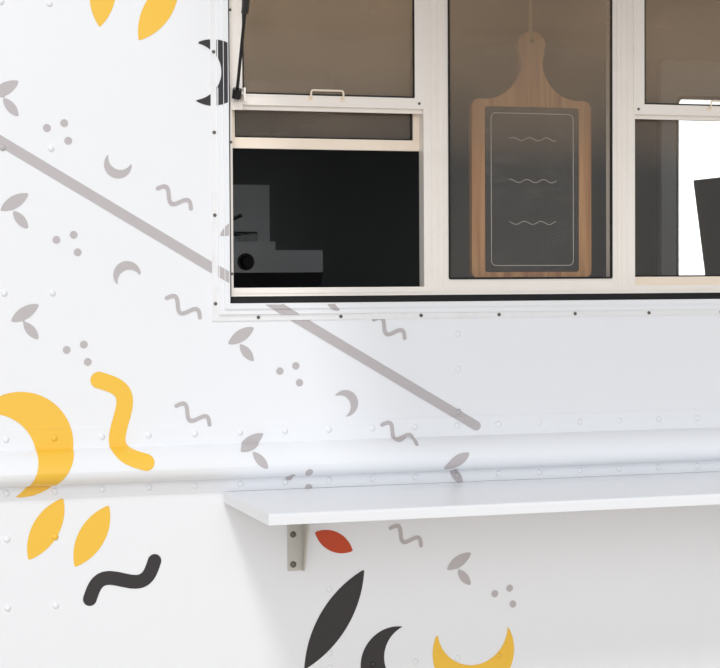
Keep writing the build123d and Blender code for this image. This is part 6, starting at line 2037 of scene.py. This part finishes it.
@dataclass
class Seat:
    """The driver's seat: two padded pieces blown up as cloth, with piping and sewn channels."""

    datum: Datum
    palette: Palette
    centre_y: float = 0.575
    lean: float = math.radians(-8.0)
    voxel: float = 0.006
    pressure: float = 4.0
    steps: int = 20
    cap: float = 0.012
    channels: tuple[float, ...] = (-0.12, -0.04, 0.04, 0.12)
    seam_margin: float = 0.03
    seam_fade: float = 0.04
    seam_depth: float = 0.009
    cushion_half: Point = (0.222, 0.237, 0.0475)
    back_half: Point = (0.302, 0.237, 0.0475)

    def pad(self, name: str, half: Point, place: Matrix) -> Object:
        """Makes one pad: a round-edged form, blown up, with channels sewn down its face.

        Args:
            name: The piece's name.
            half: Half its depth, width and thickness.
            place: Its middle; Z points to the face that is sat on.

        Returns:
            The piece.
        """
        depth, width, thick = half
        loops = []
        for height, inset in ((-thick, 0.022), (-thick * 0.7, 0.004), (0.0, 0.0), (thick * 0.62, 0.006),
                              (thick * 0.92, 0.024)):
            loops.append((rounded(depth - inset, width - inset, 0.05, 8), height))
        bm = bmesh.new()
        add_loops(bm, Matrix.Identity(4), loops)
        piece = show(loose(name, bm))
        remesh = piece.modifiers.new("even", "REMESH")
        remesh.mode = "VOXEL"
        remesh.voxel_size = self.voxel
        self._apply(piece)
        self._inflate(piece)
        self._sew(piece, depth)
        smooth = piece.modifiers.new("fine", "SUBSURF")
        smooth.levels = smooth.render_levels = 1
        self._apply(piece)
        piece.data.transform(place)
        piece.data.materials.append(self.palette.get(VINYL))
        all_smooth(piece.data)
        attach(piece, "truck")
        LOG.info("%s: %d faces", name, len(piece.data.polygons))
        return piece

    def _apply(self, piece: Object) -> None:
        """Turns a piece's live modifiers into its plain mesh."""
        plain = baked(piece)
        piece.modifiers.clear()
        piece.data = plain

    def _inflate(self, piece: Object) -> None:
        """Blows the pad up as cloth, no point moving further than the cap.

        Args:
            piece: The pad.
        """
        start = [v.co.copy() for v in piece.data.vertices]
        cloth = piece.modifiers.new("cloth", "CLOTH")
        cloth.settings.use_pressure = True
        cloth.settings.uniform_pressure_force = self.pressure
        cloth.settings.effector_weights.gravity = 0.0
        scene = bpy.context.scene
        for frame in range(1, self.steps + 1):
            scene.frame_set(frame)
        state = bpy.context.evaluated_depsgraph_get()
        blown = piece.evaluated_get(state).to_mesh()
        ends = [v.co.copy() for v in blown.vertices]
        piece.modifiers.clear()
        scene.frame_set(1)
        for vertex, first, last in zip(piece.data.vertices, start, ends):
            move = last - first
            if move.length > self.cap:
                move = move.normalized() * self.cap
            vertex.co = first + move

    def _sew(self, piece: Object, depth: float) -> None:
        """Presses the sewn channels into the pad's face.

        Args:
            piece: The pad.
            depth: Half its depth.
        """
        for vertex in piece.data.vertices:
            co = vertex.co
            inside = depth - self.seam_margin - abs(co.x)
            if co.z < 0.01 or inside < 0:
                continue
            near = min(abs(co.y - c) for c in self.channels)
            edge = min(1.0, inside / self.seam_fade)
            co.z -= self.seam_depth * math.exp(-(near / self.seam_depth) ** 2) * edge

    def piping(self, name: str, half: Point, place: Matrix) -> None:
        """Makes the welt round a pad's upper edge.

        Args:
            name: The piece's name.
            half: Half the pad's depth, width and thickness.
            place: The pad's middle.
        """
        depth, width, thick = half
        bm = bmesh.new()
        ring = [tuple(place @ Vector((x, y, thick * 0.82)))
                for x, y in rounded(depth - 0.004, width - 0.004, 0.052, 8)]
        add_tube(bm, ring, 0.0042, 6, True)
        mesh_piece(name, bm, self.palette.get(PIPING), "truck", 60.0)

    def build(self) -> None:
        """Makes the cushion and the backrest."""
        y = self.datum.side_y(1, self.centre_y)
        cushion = Matrix.Translation((1.65, y, 1.2965))
        back = (Matrix.Translation((1.4, y, 1.669)) @ Matrix.Rotation(self.lean, 4, "Y")
                @ Matrix.Rotation(math.radians(90), 4, "Y") @ Matrix.Rotation(math.radians(180), 4, "Z"))
        first = self.pad("seat_cushion", self.cushion_half, cushion)
        self.piping("cushion_piping", self.cushion_half, cushion)
        self.pad("seat_back", self.back_half, back)
        self.piping("back_piping", self.back_half, back)
        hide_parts("seat_pads")


@dataclass
class Dresser:
    """Gives every CAD node its finish."""

    nodes: dict[str, Object]
    palette: Palette

    def table(self) -> dict[str, Surface]:
        """Lists which finish each node takes.

        Returns:
            The finish of each node.
        """
        groups = {
            WHITE: "belt_rails hood cab_door_left cab_door_right opening_rim hatch_header serving_hatch "
                   "serving_shelf",
            LINED_SHADED: "serving_wall street_wall rear_wall rear_door_left rear_door_right roof_shell",
            CAB: "cab_shell",
            ANODISED: "window_frame",
            SASH_WARM_REFLECTION: "window_sashes",
            BARE: "shelf_brackets",
            STRIP: "trim_strip",
            FAN: "roof_fan",
            STAINLESS: "counter cook_line",
            BLACK_PAINT: "front_bumper rear_bumper driver_seat",
            CHASSIS: "chassis_frame leaf_springs fuel_tank",
            CAST: "front_axle rear_axle engine_block knuckle_left knuckle_right",
            PIPE: "exhaust_system",
            RUBBER: "front_tyre_left front_tyre_right rear_tyres_left rear_tyres_right",
            WHEEL: "front_rim_left front_rim_right rear_rims_left rear_rims_right",
            GASKET: "window_gasket",
            BLACK_PLASTIC: "grille mirrors dashboard",
            TreadPlate(): "floor_deck",
            LampFinish(): "lamps",
            VINYL: "seat_pads",
            TUBE: "strut_tubes",
            BRIGHT: "strut_rods",
            TWINE: "menu_hanger",
            CLEAR: "window_glass",
            CAB_GLASS: "windscreen cab_door_glass_left cab_door_glass_right",
            DARK: "rear_glass_left rear_glass_right",
            WoodFinish(): "menu_board",
        }
        return {name: finish for finish, names in groups.items() for name in names.split()}

    def build(self) -> None:
        """Assigns the materials."""
        table = self.table()
        for name, node in self.nodes.items():
            material = self.palette.get(table[name])
            node.data.materials.clear()
            node.data.materials.append(material)
            LOG.info("%s: %s", name, material.name)


def main() -> None:
    """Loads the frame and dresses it."""
    logging.basicConfig(level=logging.INFO, format="%(message)s")
    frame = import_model()
    bpy.context.scene.view_settings.view_transform = "Standard"
    nodes = frame["nodes"]
    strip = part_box("trim_strip")
    datum = Datum(strip[1].y, (strip[0].x + strip[1].x) / 2 - WINDOW_X)
    palette = Palette()
    Studio(datum.wall_y, datum.column_x).build()
    Dresser(nodes, palette).build()
    skin = Skin(nodes, ("serving_wall", "street_wall", "belt_rails", "opening_rim", "cab_shell",
                        "cab_door_left", "cab_door_right", "roof_shell"))
    wall_y = {-1: datum.wall_y, 1: datum.side_y(1, datum.half_width)}
    graphics = Graphics(skin, datum.column_x, wall_y, palette)
    graphics.build()
    fasteners = Fasteners(skin, datum.column_x, palette)
    fasteners.build(graphics)
    WindowFittings(datum, palette, fasteners, nodes).build()
    Wheels(datum, palette, fasteners).build()
    Glazing(datum, palette, nodes).build()
    Trim(datum, palette, nodes, skin, fasteners).build()
    Kitchen(datum, palette, fasteners).build()
    Seat(datum, palette).build()


if __name__ == "__main__":
    main()
